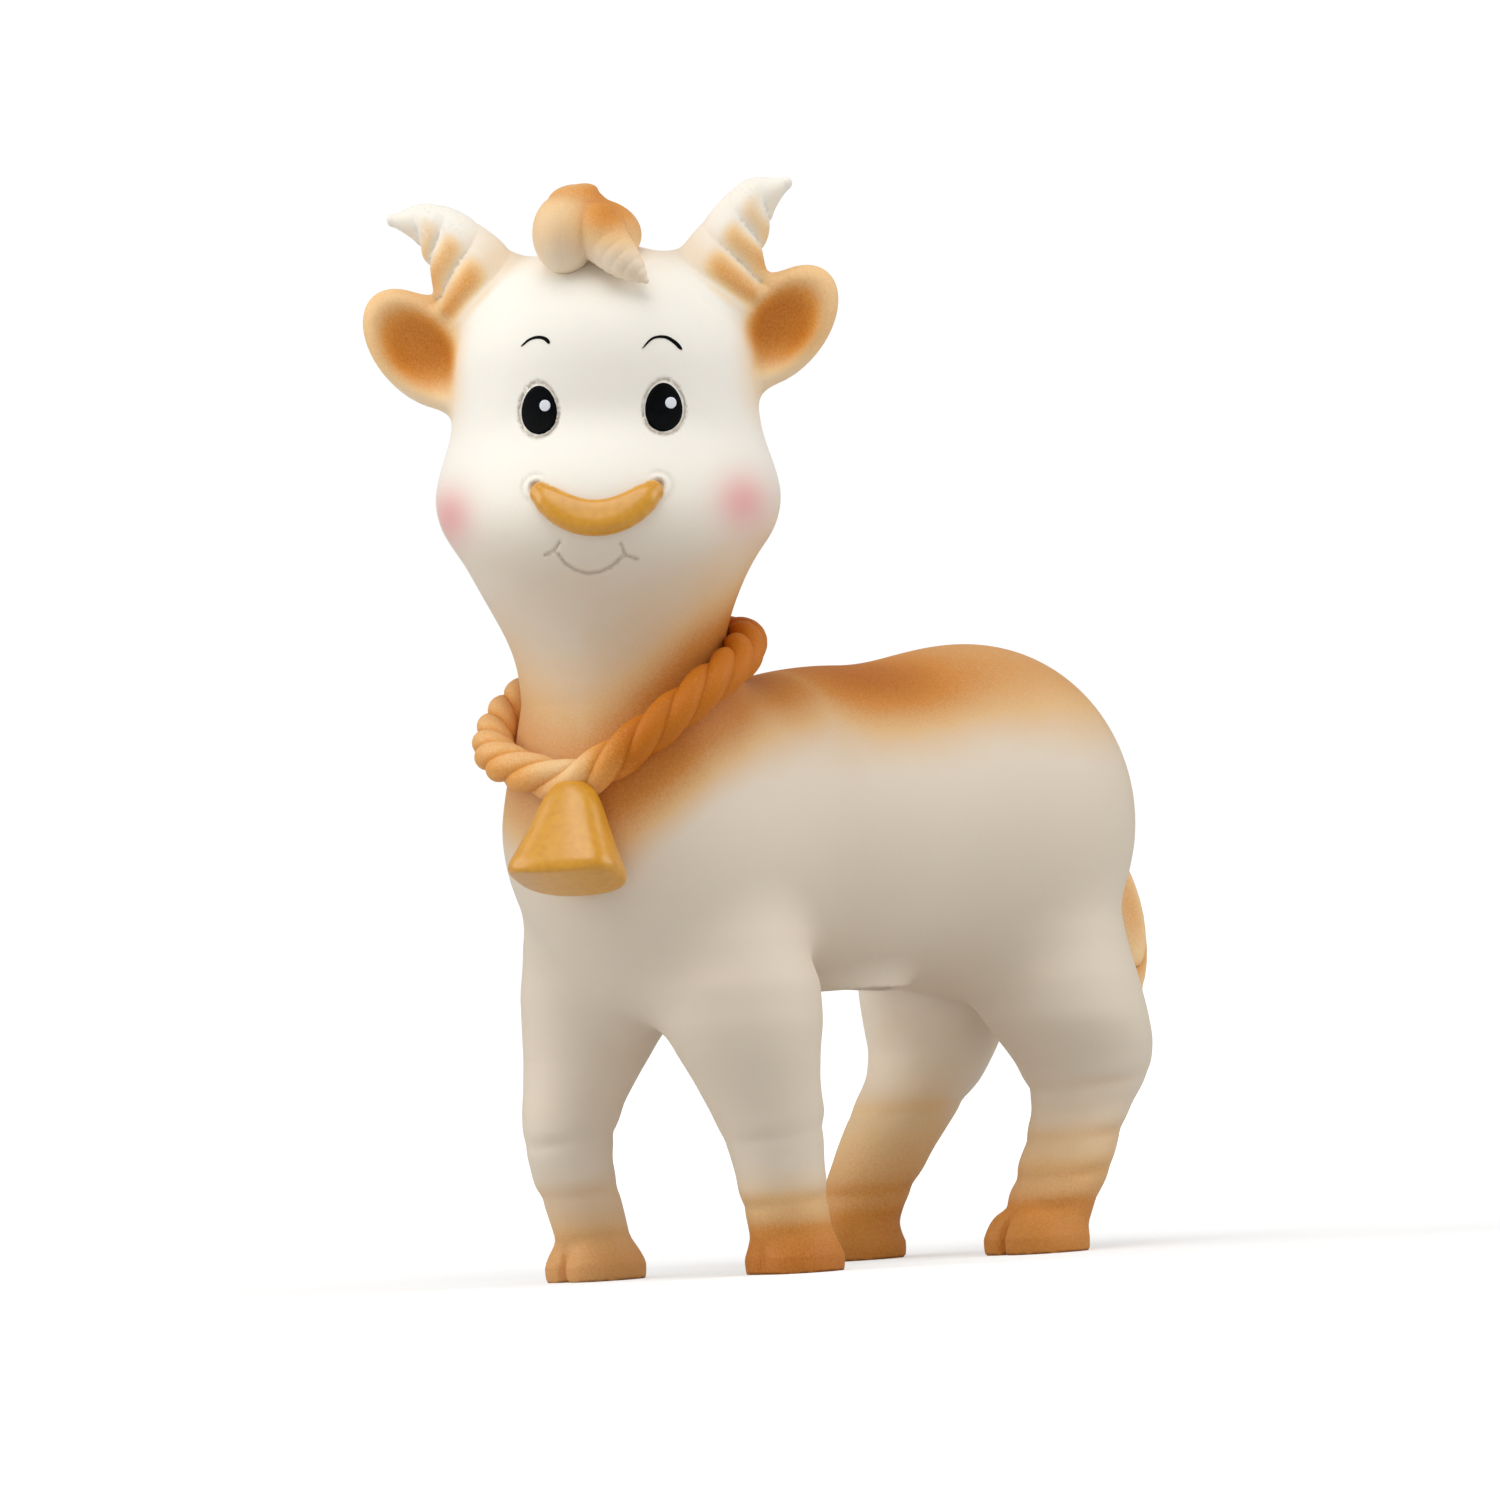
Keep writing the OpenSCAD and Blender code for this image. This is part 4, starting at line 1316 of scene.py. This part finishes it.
@dataclass
class Forelock:
    """Curled tuft between the horns: a cap, a round lobe and a pointed curl, creased where they meet."""

    step: float = 0.3

    def field(self, p: Array) -> Array:
        """Distance to the tuft.

        Args:
            p: points in millimetres in the part's frame.

        Returns:
            The distance of each point.
        """
        q = SKIN.to_head(p)
        root = ellipsoid(q, (-1.5, 5, 154.5), (7.6, 8, 5.5))
        cap = ellipsoid(q, (-3.4, 6.5, 159.0), (4.3, 6.0, 3.0))
        nub = ellipsoid(q, (-1.9, 5.0, 161.2), (1.6, 1.8, 0.9))
        lobe = ellipsoid(q, (-4.9, 11.5, 154.6), (4.7, 6.0, 5.9))
        joints = [
            (0.0, 12.2, 154.6, 3.8), (1.9, 14.5, 152.5, 3.4), (4.4, 15.9, 150.0, 2.5), (7.3, 16.7, 147.3, 0.5),
        ]
        path = smooth_path(np.array(joints), 9)
        swell = ellipsoid(q, (0.2, 10.8, 155.0), (3.9, 6.3, 4.0))
        curl = union(limb(q, [tuple(j) for j in path]), swell, 1.5)
        d = union(cap, nub, 0.8)
        d = union(d, root, 1.0)
        d = union(d, lobe, 0.3)
        return union(d, curl, 0.2)

    def build(self) -> None:
        """Make and dress the tuft."""
        cast = Cast.of(self.field, (-10, -54, 142), (24, -22, 166), self.step)
        obj = cast.piece("forelock_tuft")
        q = SKIN.to_head(mesh_points(obj))
        side, up = q[:, 0], q[:, 2]
        amber = 0.14 + 0.18 * ease(149, 156, up) + 0.15 * ease(-5, 1, side) * ease(150, 156, up)
        amber += 0.30 * np.exp(-(((side - 1.5) / 3.5) ** 2 + ((up - 157.5) / 2.5) ** 2))
        amber += 0.25 * bump(up, 161, 1.6)
        # Half the painted shade tint over the whole tuft.
        dress(obj, np.clip(amber, 0, 1), painted_shade=0.5)
        finish_piece(obj, LATEX, "amber_rubber", "forelock")


@dataclass
class NoseRing:
    """Gold crescent that hangs from the nostrils across the muzzle."""

    half_span: float = 8.1
    end_up: float = 116.2
    middle_up: float = 112.5
    thickness: float = 2.45
    step: float = 0.3

    def field(self, p: Array) -> Array:
        """Distance to the crescent.

        Args:
            p: points in millimetres in the part's frame.

        Returns:
            The distance of each point.
        """
        q = SKIN.to_head(p)
        sides = np.linspace(-self.half_span, self.half_span, 13)
        bend = np.abs(sides / self.half_span) ** 2.1
        ups = self.middle_up + (self.end_up - self.middle_up) * bend
        front = face_ahead(sides, ups)
        radii = self.thickness * (1 - 0.30 * np.abs(sides / self.half_span) ** 3.0)
        joints = [
            (side + 0.1, ahead + 0.55 - 0.5 * back, up, radius)
            for side, ahead, up, radius, back in zip(sides, front, ups, radii, bend)
        ]
        d = limb(q, joints, 0.8)
        bevel = (q[:, 1] - front[6] - 2.3) * 0.8 + (self.middle_up - q[:, 2]) * -0.35
        return -union(-d, -bevel, 1.0)

    def build(self) -> None:
        """Make and dress the ring."""
        cast = Cast.of(self.field, (8, -70, 104), (32, -44, 123), self.step)
        finish_piece(cast.piece("gold_nose_ring"), GOLD, "gold_paint", "nose_ring")


def face_ahead(side: Array, up: Array) -> Array:
    """How far ahead the smooth face lies at places across and up it.

    Args:
        side: places across the face.
        up: places up the face.

    Returns:
        How far ahead the face lies at each place.
    """
    ahead = np.full(len(side), 42.0)
    for _ in range(40):
        ahead -= SKIN.skull(np.stack([side, ahead, up], 1)) * 0.9
    return ahead


@dataclass
class Face:
    """Painted eyes, glints and brows: thin films that follow the face."""

    film: float = 0.35
    rings: int = 9
    around: int = 56

    def patch(self, name: str, outline: Callable[[Array], Array], centre: tuple[float, float], lift: float,
              dome: float) -> bpy.types.Object:
        """Make a closed film on the face.

        Args:
            name: the piece's name.
            outline: gives side and up offsets for angles round the patch.
            centre: side and up of its middle.
            lift: height of its edge over the face.
            dome: extra height in its middle.

        Returns:
            The film.
        """
        angles = np.linspace(0, 2 * math.pi, self.around, endpoint=False)
        rim = outline(angles)
        shares = np.concatenate([[0.001], np.linspace(0.15, 1, self.rings)])
        flat = np.concatenate([np.array(centre) + rim * s for s in shares])
        share = np.repeat(shares, self.around)
        height = lift + dome * (1 - share**2)
        top = self.lifted(flat, np.where(share > 0.999, lift * 0.4, height))
        foot = self.lifted(flat[-self.around :], np.full(self.around, -self.film))
        middle = self.lifted(np.array([centre]), np.array([-self.film]))
        points = np.concatenate([top, foot, middle])
        faces = [list(range(self.around))]
        for ring in range(len(shares)):
            for i in range(self.around):
                a, b = ring * self.around + i, ring * self.around + (i + 1) % self.around
                faces.append([a, a + self.around, b + self.around, b])
        last = len(shares) * self.around
        faces += [[last + i, len(points) - 1, last + (i + 1) % self.around] for i in range(self.around)]
        obj = make_object(name, SKIN.from_head(points), faces)
        return outward(obj)

    def lifted(self, flat: Array, height: Array) -> Array:
        """Points over the face, in the head's axes.

        Args:
            flat: places across and up the face.
            height: height over the face of each point.

        Returns:
            The points in the head's axes.
        """
        base = np.stack([flat[:, 0], face_ahead(flat[:, 0], flat[:, 1]), flat[:, 1]], 1)
        slope = gradient(SKIN.skull, base)
        return base + slope / np.linalg.norm(slope, axis=1, keepdims=True) * height[:, None]

    def build(self) -> None:
        """Make the eyes, glints and brows."""
        for eye in EYES:
            def egg(angles: Array) -> Array:
                v = np.sin(angles)
                return np.stack([np.cos(angles) * eye.width / 2 * (1 - 0.10 * v), v * eye.height / 2], 1)

            def spot(angles: Array) -> Array:
                return np.stack([np.cos(angles) * eye.glint / 2, np.sin(angles) * eye.glint / 2 * 1.06], 1)

            pupil = self.patch(f"pupil_{eye.name}", egg, (eye.side, eye.up), 0.10, 0.10)
            finish_piece(pupil, BLACK, "black_paint", f"{eye.name}_eye")
            place = (eye.side + eye.glint_side, eye.up + eye.glint_up)
            glint = self.patch(f"glint_{eye.name}", spot, place, 0.24, 0.06)
            finish_piece(glint, WHITE, "white_paint", f"{eye.name}_eye_glint")
        for name, line in BROWS.items():
            finish_piece(self.stroke(f"brow_stroke_{name}", line), BLACK, "black_paint", f"{name}_brow")

    def stroke(self, name: str, line: Sequence[tuple[float, float]]) -> bpy.types.Object:
        """Make a brow: one brush stroke that swells to its outer end.

        Args:
            name: the name.
            line: the brow's points, across and up the face.

        Returns:
            The brow.
        """
        path = smooth_path(np.array(line), 22)
        share = np.linspace(0, 1, len(path))
        along = np.gradient(path, axis=0)
        across = np.stack([-along[:, 1], along[:, 0]], 1) / np.linalg.norm(along, axis=1, keepdims=True)
        half = (0.13 + 0.20 * share) * np.sqrt(np.clip(1 - (2 * share - 1) ** 6, 0.02, 1))
        count = 8
        rows = []
        for k in range(count):
            angle = 2 * math.pi * k / count
            edge = path + across * (half * math.cos(angle))[:, None]
            rows.append(self.lifted(edge, 0.02 + 0.16 * math.sin(angle) * np.ones(len(path))))
        points = np.concatenate(rows)
        size = len(path)
        faces = []
        for k in range(count):
            here, beside = k * size, (k + 1) % count * size
            faces += [[here + i, beside + i, beside + i + 1, here + i + 1] for i in range(size - 1)]
        faces += [[k * size for k in range(count)], [k * size + size - 1 for k in reversed(range(count))]]
        return outward(make_object(name, SKIN.from_head(points), faces))


def outward(obj: bpy.types.Object) -> bpy.types.Object:
    """Turn an object's faces outwards.

    Args:
        obj: the piece.

    Returns:
        The same piece.
    """
    shape = bmesh.new()
    shape.from_mesh(obj.data)
    bmesh.ops.recalc_face_normals(shape, faces=shape.faces)
    shape.to_mesh(obj.data)
    shape.free()
    return obj


# ---- Collar, bell and tail -------------------------------------------------------------------


@dataclass
class Collar:
    """Rope twisted from three strands, lying round the neck from the bell up to the nape."""

    radius: float = 19.3
    rope_radius: float = 2.9
    strand_radius: float = 1.95
    strands: int = 3
    spread: float = 1.35
    turns: float = 7.0
    knots: int = 400
    steps: int = 900

    def path(self) -> Array:
        """Middle of the rope, once round the neck.

        Returns:
            Points of the rope, in millimetres.
        """
        angles = np.linspace(0, 360, self.knots, endpoint=False)
        angles = np.mod(angles + 110, 360) - 110
        at, lifts = (np.array(c, float) for c in zip(*COLLAR_LIFTS[1:-1]))
        rough = np.interp(angles, at, lifts, period=360)
        gap = np.abs(np.mod(angles[:, None] - angles[None, :] + 180, 360) - 180)
        soft = np.exp(-((gap / 9) ** 2))
        lift = (soft @ rough) / soft.sum(1)
        azimuth = np.radians(angles + BELL_AZIMUTH)
        swell = 0.9 * bump(angles, 62, 26) - 0.7 * bump(angles, -80, 30)
        reach = self.radius + swell
        x, y = reach * np.sin(azimuth), NECK_Y - reach * np.cos(azimuth)
        return np.stack([x, y, COLLAR_HEIGHT + lift], 1)

    def tree(self) -> bpy.types.GeometryNodeTree:
        """Geometry Nodes that wind strands round a closed path.

        Returns:
            The node tree.
        """
        tree = bpy.data.node_groups.new("twisted_rope", "GeometryNodeTree")
        sockets = (("Path", "NodeSocketGeometry"), ("Strands", "NodeSocketInt"), ("Turns", "NodeSocketFloat"),
                   ("Lay", "NodeSocketFloat"), ("Strand Radius", "NodeSocketFloat"), ("Steps", "NodeSocketInt"),
                   ("Finish", "NodeSocketMaterial"))
        for name, kind in sockets:
            tree.interface.new_socket(name, in_out="INPUT", socket_type=kind)
        tree.interface.new_socket("Rope", in_out="OUTPUT", socket_type="NodeSocketGeometry")
        given = add_node(tree, "NodeGroupInput").outputs
        curve = add_node(tree, "GeometryNodeMeshToCurve", {"Mesh": given["Path"]})
        curve = add_node(tree, "GeometryNodeResampleCurve",
                         {"Curve": curve.outputs[0], "Count": given["Steps"]})
        copies = add_node(tree, "GeometryNodeDuplicateElements",
                          {"Geometry": curve.outputs[0], "Amount": given["Strands"]}, domain="SPLINE")
        share = add_node(tree, "GeometryNodeSplineParameter").outputs["Factor"]
        wound = add_node(tree, "ShaderNodeMath", {0: share, 1: given["Turns"]}, operation="MULTIPLY")
        start = add_node(tree, "ShaderNodeMath", {0: copies.outputs["Duplicate Index"], 1: given["Strands"]},
                         operation="DIVIDE")
        turn = add_node(tree, "ShaderNodeMath", {0: wound.outputs[0], 1: start.outputs[0]}, operation="ADD")
        angle = add_node(tree, "ShaderNodeMath", {0: turn.outputs[0], 1: 2 * math.pi}, operation="MULTIPLY")
        tangent = add_node(tree, "GeometryNodeInputTangent").outputs[0]
        level = add_node(tree, "ShaderNodeVectorMath", {0: tangent, 1: (0, 0, 1)}, operation="CROSS_PRODUCT")
        sideways = add_node(tree, "ShaderNodeVectorMath", {0: level.outputs[0]}, operation="NORMALIZE")
        upward = add_node(tree, "ShaderNodeVectorMath", {0: sideways.outputs[0], 1: tangent},
                          operation="CROSS_PRODUCT")
        parts = []
        for axis, wave in ((sideways, "COSINE"), (upward, "SINE")):
            size = add_node(tree, "ShaderNodeMath", {0: angle.outputs[0]}, operation=wave)
            size = add_node(tree, "ShaderNodeMath", {0: size.outputs[0], 1: given["Lay"]},
                            operation="MULTIPLY")
            part = {0: axis.outputs[0], "Scale": size.outputs[0]}
            parts.append(add_node(tree, "ShaderNodeVectorMath", part, operation="SCALE"))
        offset = add_node(tree, "ShaderNodeVectorMath", {0: parts[0].outputs[0], 1: parts[1].outputs[0]},
                          operation="ADD")
        moved = add_node(tree, "GeometryNodeSetPosition",
                         {"Geometry": copies.outputs["Geometry"], "Offset": offset.outputs[0]})
        profile = add_node(tree, "GeometryNodeCurvePrimitiveCircle",
                           {"Resolution": 20, "Radius": given["Strand Radius"]})
        tube = add_node(tree, "GeometryNodeCurveToMesh",
                        {"Curve": moved.outputs[0], "Profile Curve": profile.outputs["Curve"]})
        smooth = add_node(tree, "GeometryNodeSetShadeSmooth", {"Geometry": tube.outputs[0]})
        real = add_node(tree, "GeometryNodeRealizeInstances", {"Geometry": smooth.outputs[0]})
        done = add_node(tree, "GeometryNodeSetMaterial",
                        {"Geometry": real.outputs[0], "Material": given["Finish"]})
        add_node(tree, "NodeGroupOutput", {"Rope": done.outputs[0]})
        return tree

    def build(self) -> None:
        """Make and dress the rope."""
        path = self.path()
        mesh = bpy.data.meshes.new("rope_path")
        links = [(i, (i + 1) % len(path)) for i in range(len(path))]
        mesh.from_pydata((path * MM).tolist(), links, [])
        holder = bpy.data.objects.new("rope_path", mesh)
        bpy.context.scene.collection.objects.link(holder)
        tree = self.tree()
        modifier = holder.modifiers.new("rope", "NODES")
        modifier.node_group = tree
        lay = (self.rope_radius - self.strand_radius) * self.spread
        values = {"Strands": self.strands, "Turns": self.turns, "Lay": lay * MM,
                  "Strand Radius": self.strand_radius * MM, "Steps": self.steps, "Finish": LATEX}
        for item in tree.interface.items_tree:
            if item.in_out == "INPUT" and item.name in values:
                modifier[item.identifier] = values[item.name]
        seen = holder.evaluated_get(bpy.context.evaluated_depsgraph_get())
        rope = bpy.data.objects.new("twisted_rope_collar", bpy.data.meshes.new_from_object(seen))
        bpy.data.objects.remove(holder)
        bpy.context.scene.collection.objects.link(rope)
        outward(rope)
        points = mesh_points(rope)
        batch = 4000
        nearest = np.concatenate([
            np.linalg.norm(points[i : i + batch, None] - path[None], axis=2).argmin(1)
            for i in range(0, len(points), batch)
        ])
        off = np.linalg.norm(points - path[nearest], axis=1)
        wear = ease(self.rope_radius - 0.55, self.rope_radius + 0.1, off)
        angle = nearest * 360 / len(path)
        angle = np.where(angle > 180, angle - 360, angle)
        by_bell = bump(angle, 4, 16)
        # Painted light: the rope's upper side is paler, as if lit from above; the outer faces of the strands
        # are also paler from wear.
        top_light = ease(-0.5, 2.4, points[:, 2] - path[nearest][:, 2])
        right_side = ease(-10, 30, angle) * ease(190, 150, angle)
        wear_and_top_light = (0.07 + 0.12 * top_light) * wear * (1 - 0.4 * right_side)
        amber = 0.72 + 0.38 * right_side - wear_and_top_light - 0.22 * by_bell
        dress(rope, np.clip(amber, 0, 1))
        finish_piece(rope, LATEX, "amber_rubber", "rope_collar")


# The bell's outline: share of the height from the mouth, and share of the width.
BELL_ROWS = (
    (0.0, 0.0), (0.0, 0.5), (0.0, 0.86), (0.006, 0.95), (0.03, 0.99), (0.07, 1.0), (0.12, 0.985), (0.2, 0.925),
    (0.32, 0.835), (0.45, 0.74), (0.58, 0.65), (0.7, 0.57), (0.8, 0.495), (0.88, 0.415), (0.94, 0.32),
    (0.98, 0.19), (1.0, 0.06),
)


@dataclass
class Bell:
    """Solid cow bell: flattened, flaring, with a flat front between rounded corners."""

    width: float = 16.8
    height: float = 15.2
    depth: float = 12.6
    top_z: float = 74.0
    out: float = 21.4
    lean: float = 19.0
    rows: int = 52
    around: int = 96

    def build(self) -> None:
        """Make and dress the bell."""
        rows = smooth_path(np.array(BELL_ROWS), self.rows)
        around = self.around
        angles = np.linspace(0, 2 * math.pi, around, endpoint=False)
        points = []
        for share, size in rows:
            power = 2 / (3.3 - 1.2 * share)
            x = np.sign(np.cos(angles)) * np.abs(np.cos(angles)) ** power * self.width / 2 * max(size, 0.004)
            y = np.sign(np.sin(angles)) * np.abs(np.sin(angles)) ** power * self.depth / 2 * max(size, 0.004)
            y = y * (1 + 0.06 * share)
            sag = 0.9 * (1 - (x / (self.width / 2)) ** 2) * (1 - share) ** 3
            z = self.height * (share - 1) - sag + 0.5
            points.append(np.stack([x, y, z * np.ones(around)], 1))
        points = np.concatenate(points)
        lean = math.radians(self.lean)
        y, z = points[:, 1].copy(), points[:, 2].copy()
        points[:, 1] = y * math.cos(lean) + z * math.sin(lean)
        points[:, 2] = -y * math.sin(lean) + z * math.cos(lean)
        points[:, 1] -= self.out - 1.0
        azimuth = math.radians(BELL_AZIMUTH)
        x, y = points[:, 0].copy(), points[:, 1].copy()
        points[:, 0] = x * math.cos(azimuth) - y * math.sin(azimuth)
        points[:, 1] = x * math.sin(azimuth) + y * math.cos(azimuth) + SKIN.neck_y
        points[:, 2] += self.top_z
        count = len(rows)
        faces = [[j * around + i, j * around + (i + 1) % around, (j + 1) * around + (i + 1) % around,
                  (j + 1) * around + i] for j in range(count - 1) for i in range(around)]
        faces += [list(range(around)), [(count - 1) * around + i for i in range(around)]]
        obj = outward(make_object("cast_bell", points, faces))
        finish_piece(obj, GOLD, "gold_paint", "bell")


@dataclass
class Tail:
    """Tuft of hair that lies on the rump, in twisted locks."""

    step: float = 0.4

    def field(self, p: Array) -> Array:
        """Distance to the tuft.

        Args:
            p: points in millimetres in the part's frame.

        Returns:
            The distance of each point.
        """
        joints = [
            (0.5, 56.5, 62, 2.2), (2.5, 58.0, 56, 3.2), (4.8, 57.4, 50, 3.9), (6.4, 56.0, 44, 4.2),
            (7.6, 54.8, 38.5, 3.2), (8.2, 54.2, 34, 1.0),
        ]
        path = smooth_path(np.array(joints), 16)
        d = limb(p, [tuple(j) for j in path], 1.0)
        return d + 0.45 * self.grooves(p) ** 2 - 0.15

    def grooves(self, p: Array) -> Array:
        """1 in the grooves between the locks of hair, 0 on their crests."""
        return 1 - np.abs(np.sin((p[:, 0] - 3) * 1.5 + p[:, 2] * 0.62))

    def build(self) -> None:
        """Make and dress the tail."""
        cast = Cast.of(self.field, (-5, 48, 28), (16, 66, 74), self.step)
        obj = cast.piece("tail_tuft")
        points = mesh_points(obj)
        amber = 0.34 + 0.30 * self.grooves(points) + 0.2 * ease(60, 72, points[:, 2])
        dress(obj, np.clip(amber, 0, 1))
        finish_piece(obj, LATEX, "ivory_rubber", "tail")


# ---- Studio ----------------------------------------------------------------------------------


@dataclass
class Studio:
    """Pale floor, soft lights and the camera."""

    azimuth: float = 48.0
    roll: float = 3.0
    lens: float = 400.0
    distance: float = 2.4876
    target: Point = (-5.25, -5.83, 77.46)
    ambient: float = 0.35
    lamp_aim: float = 0.08
    floor_size: float = 12.0

    def camera(self) -> None:
        """Place the camera: level with the middle of the toy and rolled a little."""
        angle = math.radians(self.azimuth)
        back = Vector((math.sin(angle), -math.cos(angle), 0))
        right = Vector((math.cos(angle), math.sin(angle), 0))
        level = Matrix((right, Vector((0, 0, 1)), back)).transposed()
        turn = level @ Matrix.Rotation(math.radians(-self.roll), 3, "Z")
        data = bpy.data.cameras.new("camera")
        data.lens = self.lens
        data.clip_end = 50
        camera = bpy.data.objects.new("camera", data)
        place = Vector(self.target) * MM + back * self.distance
        camera.matrix_world = Matrix.Translation(place) @ turn.to_4x4()
        bpy.context.scene.collection.objects.link(camera)
        bpy.context.scene.camera = camera

    def lamp(
        self, name: str, azimuth: float, elevation: float, distance: float, size: float, power: float,
        mirrored: bool = True,
    ) -> None:
        """Add a soft square lamp that looks at the toy.

        Args:
            name: the lamp's name.
            azimuth: where it stands round the toy, in degrees, as for the camera.
            elevation: its height in degrees.
            distance: its distance in metres.
            size: its side in metres.
            power: its power in watts.
            mirrored: False where the lamp only fills shadows and shows in no highlight.
        """
        data = bpy.data.lights.new(name, "AREA")
        data.shape = "SQUARE"
        data.size = size
        data.energy = power
        a, e = math.radians(azimuth), math.radians(elevation)
        back = Vector((math.sin(a) * math.cos(e), -math.cos(a) * math.cos(e), math.sin(e)))
        lamp = bpy.data.objects.new(name, data)
        place = Vector((0, 0, self.lamp_aim)) + back * distance
        lamp.matrix_world = Matrix.Translation(place) @ back.to_track_quat("Z", "Y").to_matrix().to_4x4()
        lamp.visible_glossy = mirrored
        bpy.context.scene.collection.objects.link(lamp)

    def build(self) -> None:
        """Set the floor, world and lamps."""
        corners = np.array([(-1, -1, 0), (1, -1, 0), (1, 1, 0), (-1, 1, 0)]) * self.floor_size / 2 / MM
        floor = make_object("floor", corners, [(0, 1, 2, 3)], False)
        material, tree, shader = new_material("white_vinyl_backdrop")
        shader.inputs["Base Color"].default_value = linear("#D0D0D0")
        shader.inputs["Roughness"].default_value = 0.9
        shader.inputs["Specular IOR Level"].default_value = 0.0
        shader.inputs["Emission Color"].default_value = linear("#FFFFFF")
        seen = add_node(tree, "ShaderNodeLightPath").outputs["Is Camera Ray"]
        place = add_node(tree, "ShaderNodeTexCoord").outputs["Object"]
        away = add_node(tree, "ShaderNodeVectorMath", {0: place}, operation="LENGTH")
        span = {"From Min": 0.15, "From Max": 0.7, "To Min": 0.42, "To Max": 0.9}
        lit = add_node(tree, "ShaderNodeMapRange", {"Value": away.outputs["Value"], **span})
        glow = add_node(tree, "ShaderNodeMath", {0: seen, 1: lit.outputs[0]}, operation="MULTIPLY")
        tree.links.new(glow.outputs[0], shader.inputs["Emission Strength"])
        floor.data.materials.append(material)
        world = bpy.data.worlds.new("studio")
        bpy.context.scene.world = world
        world.use_nodes = True
        tree = world.node_tree
        seen = add_node(tree, "ShaderNodeLightPath").outputs["Is Camera Ray"]
        glow = add_node(tree, "ShaderNodeMapRange", {"Value": seen, "To Min": self.ambient, "To Max": 1.02})
        tree.nodes["Background"].inputs["Color"].default_value = linear("#FFFFFF")
        tree.links.new(glow.outputs[0], tree.nodes["Background"].inputs["Strength"])
        self.lamp("top", 30, 66, 1.1, 0.8, 5.7)
        self.lamp("left", -37, 26, 1.1, 0.9, 5.4)
        self.lamp("right", 133, 26, 1.1, 0.9, 4.8)
        self.lamp("fill", 44, 4, 1.2, 1.0, 1.5, mirrored=False)
        bpy.context.scene.view_settings.view_transform = "Standard"


def dress_squeaker() -> None:
    """Give the CAD squeaker's pieces their plastics."""
    for name, material in (("squeaker_housing", HOUSING), ("squeaker_cap", HOUSING), ("reed_holder", HOUSING),
                           ("squeaker_reed", REED)):
        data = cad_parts[name].data
        data.materials.clear()
        data.materials.append(material)
        log.info("%s dressed", name)


def main() -> None:
    """Build the toy and the studio."""
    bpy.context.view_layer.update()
    studio = Studio()
    studio.camera()
    Casting().build()
    Forelock().build()
    NoseRing().build()
    Face().build()
    Collar().build()
    Bell().build()
    Tail().build()
    dress_squeaker()
    studio.build()


if __name__ == "__main__":
    main()
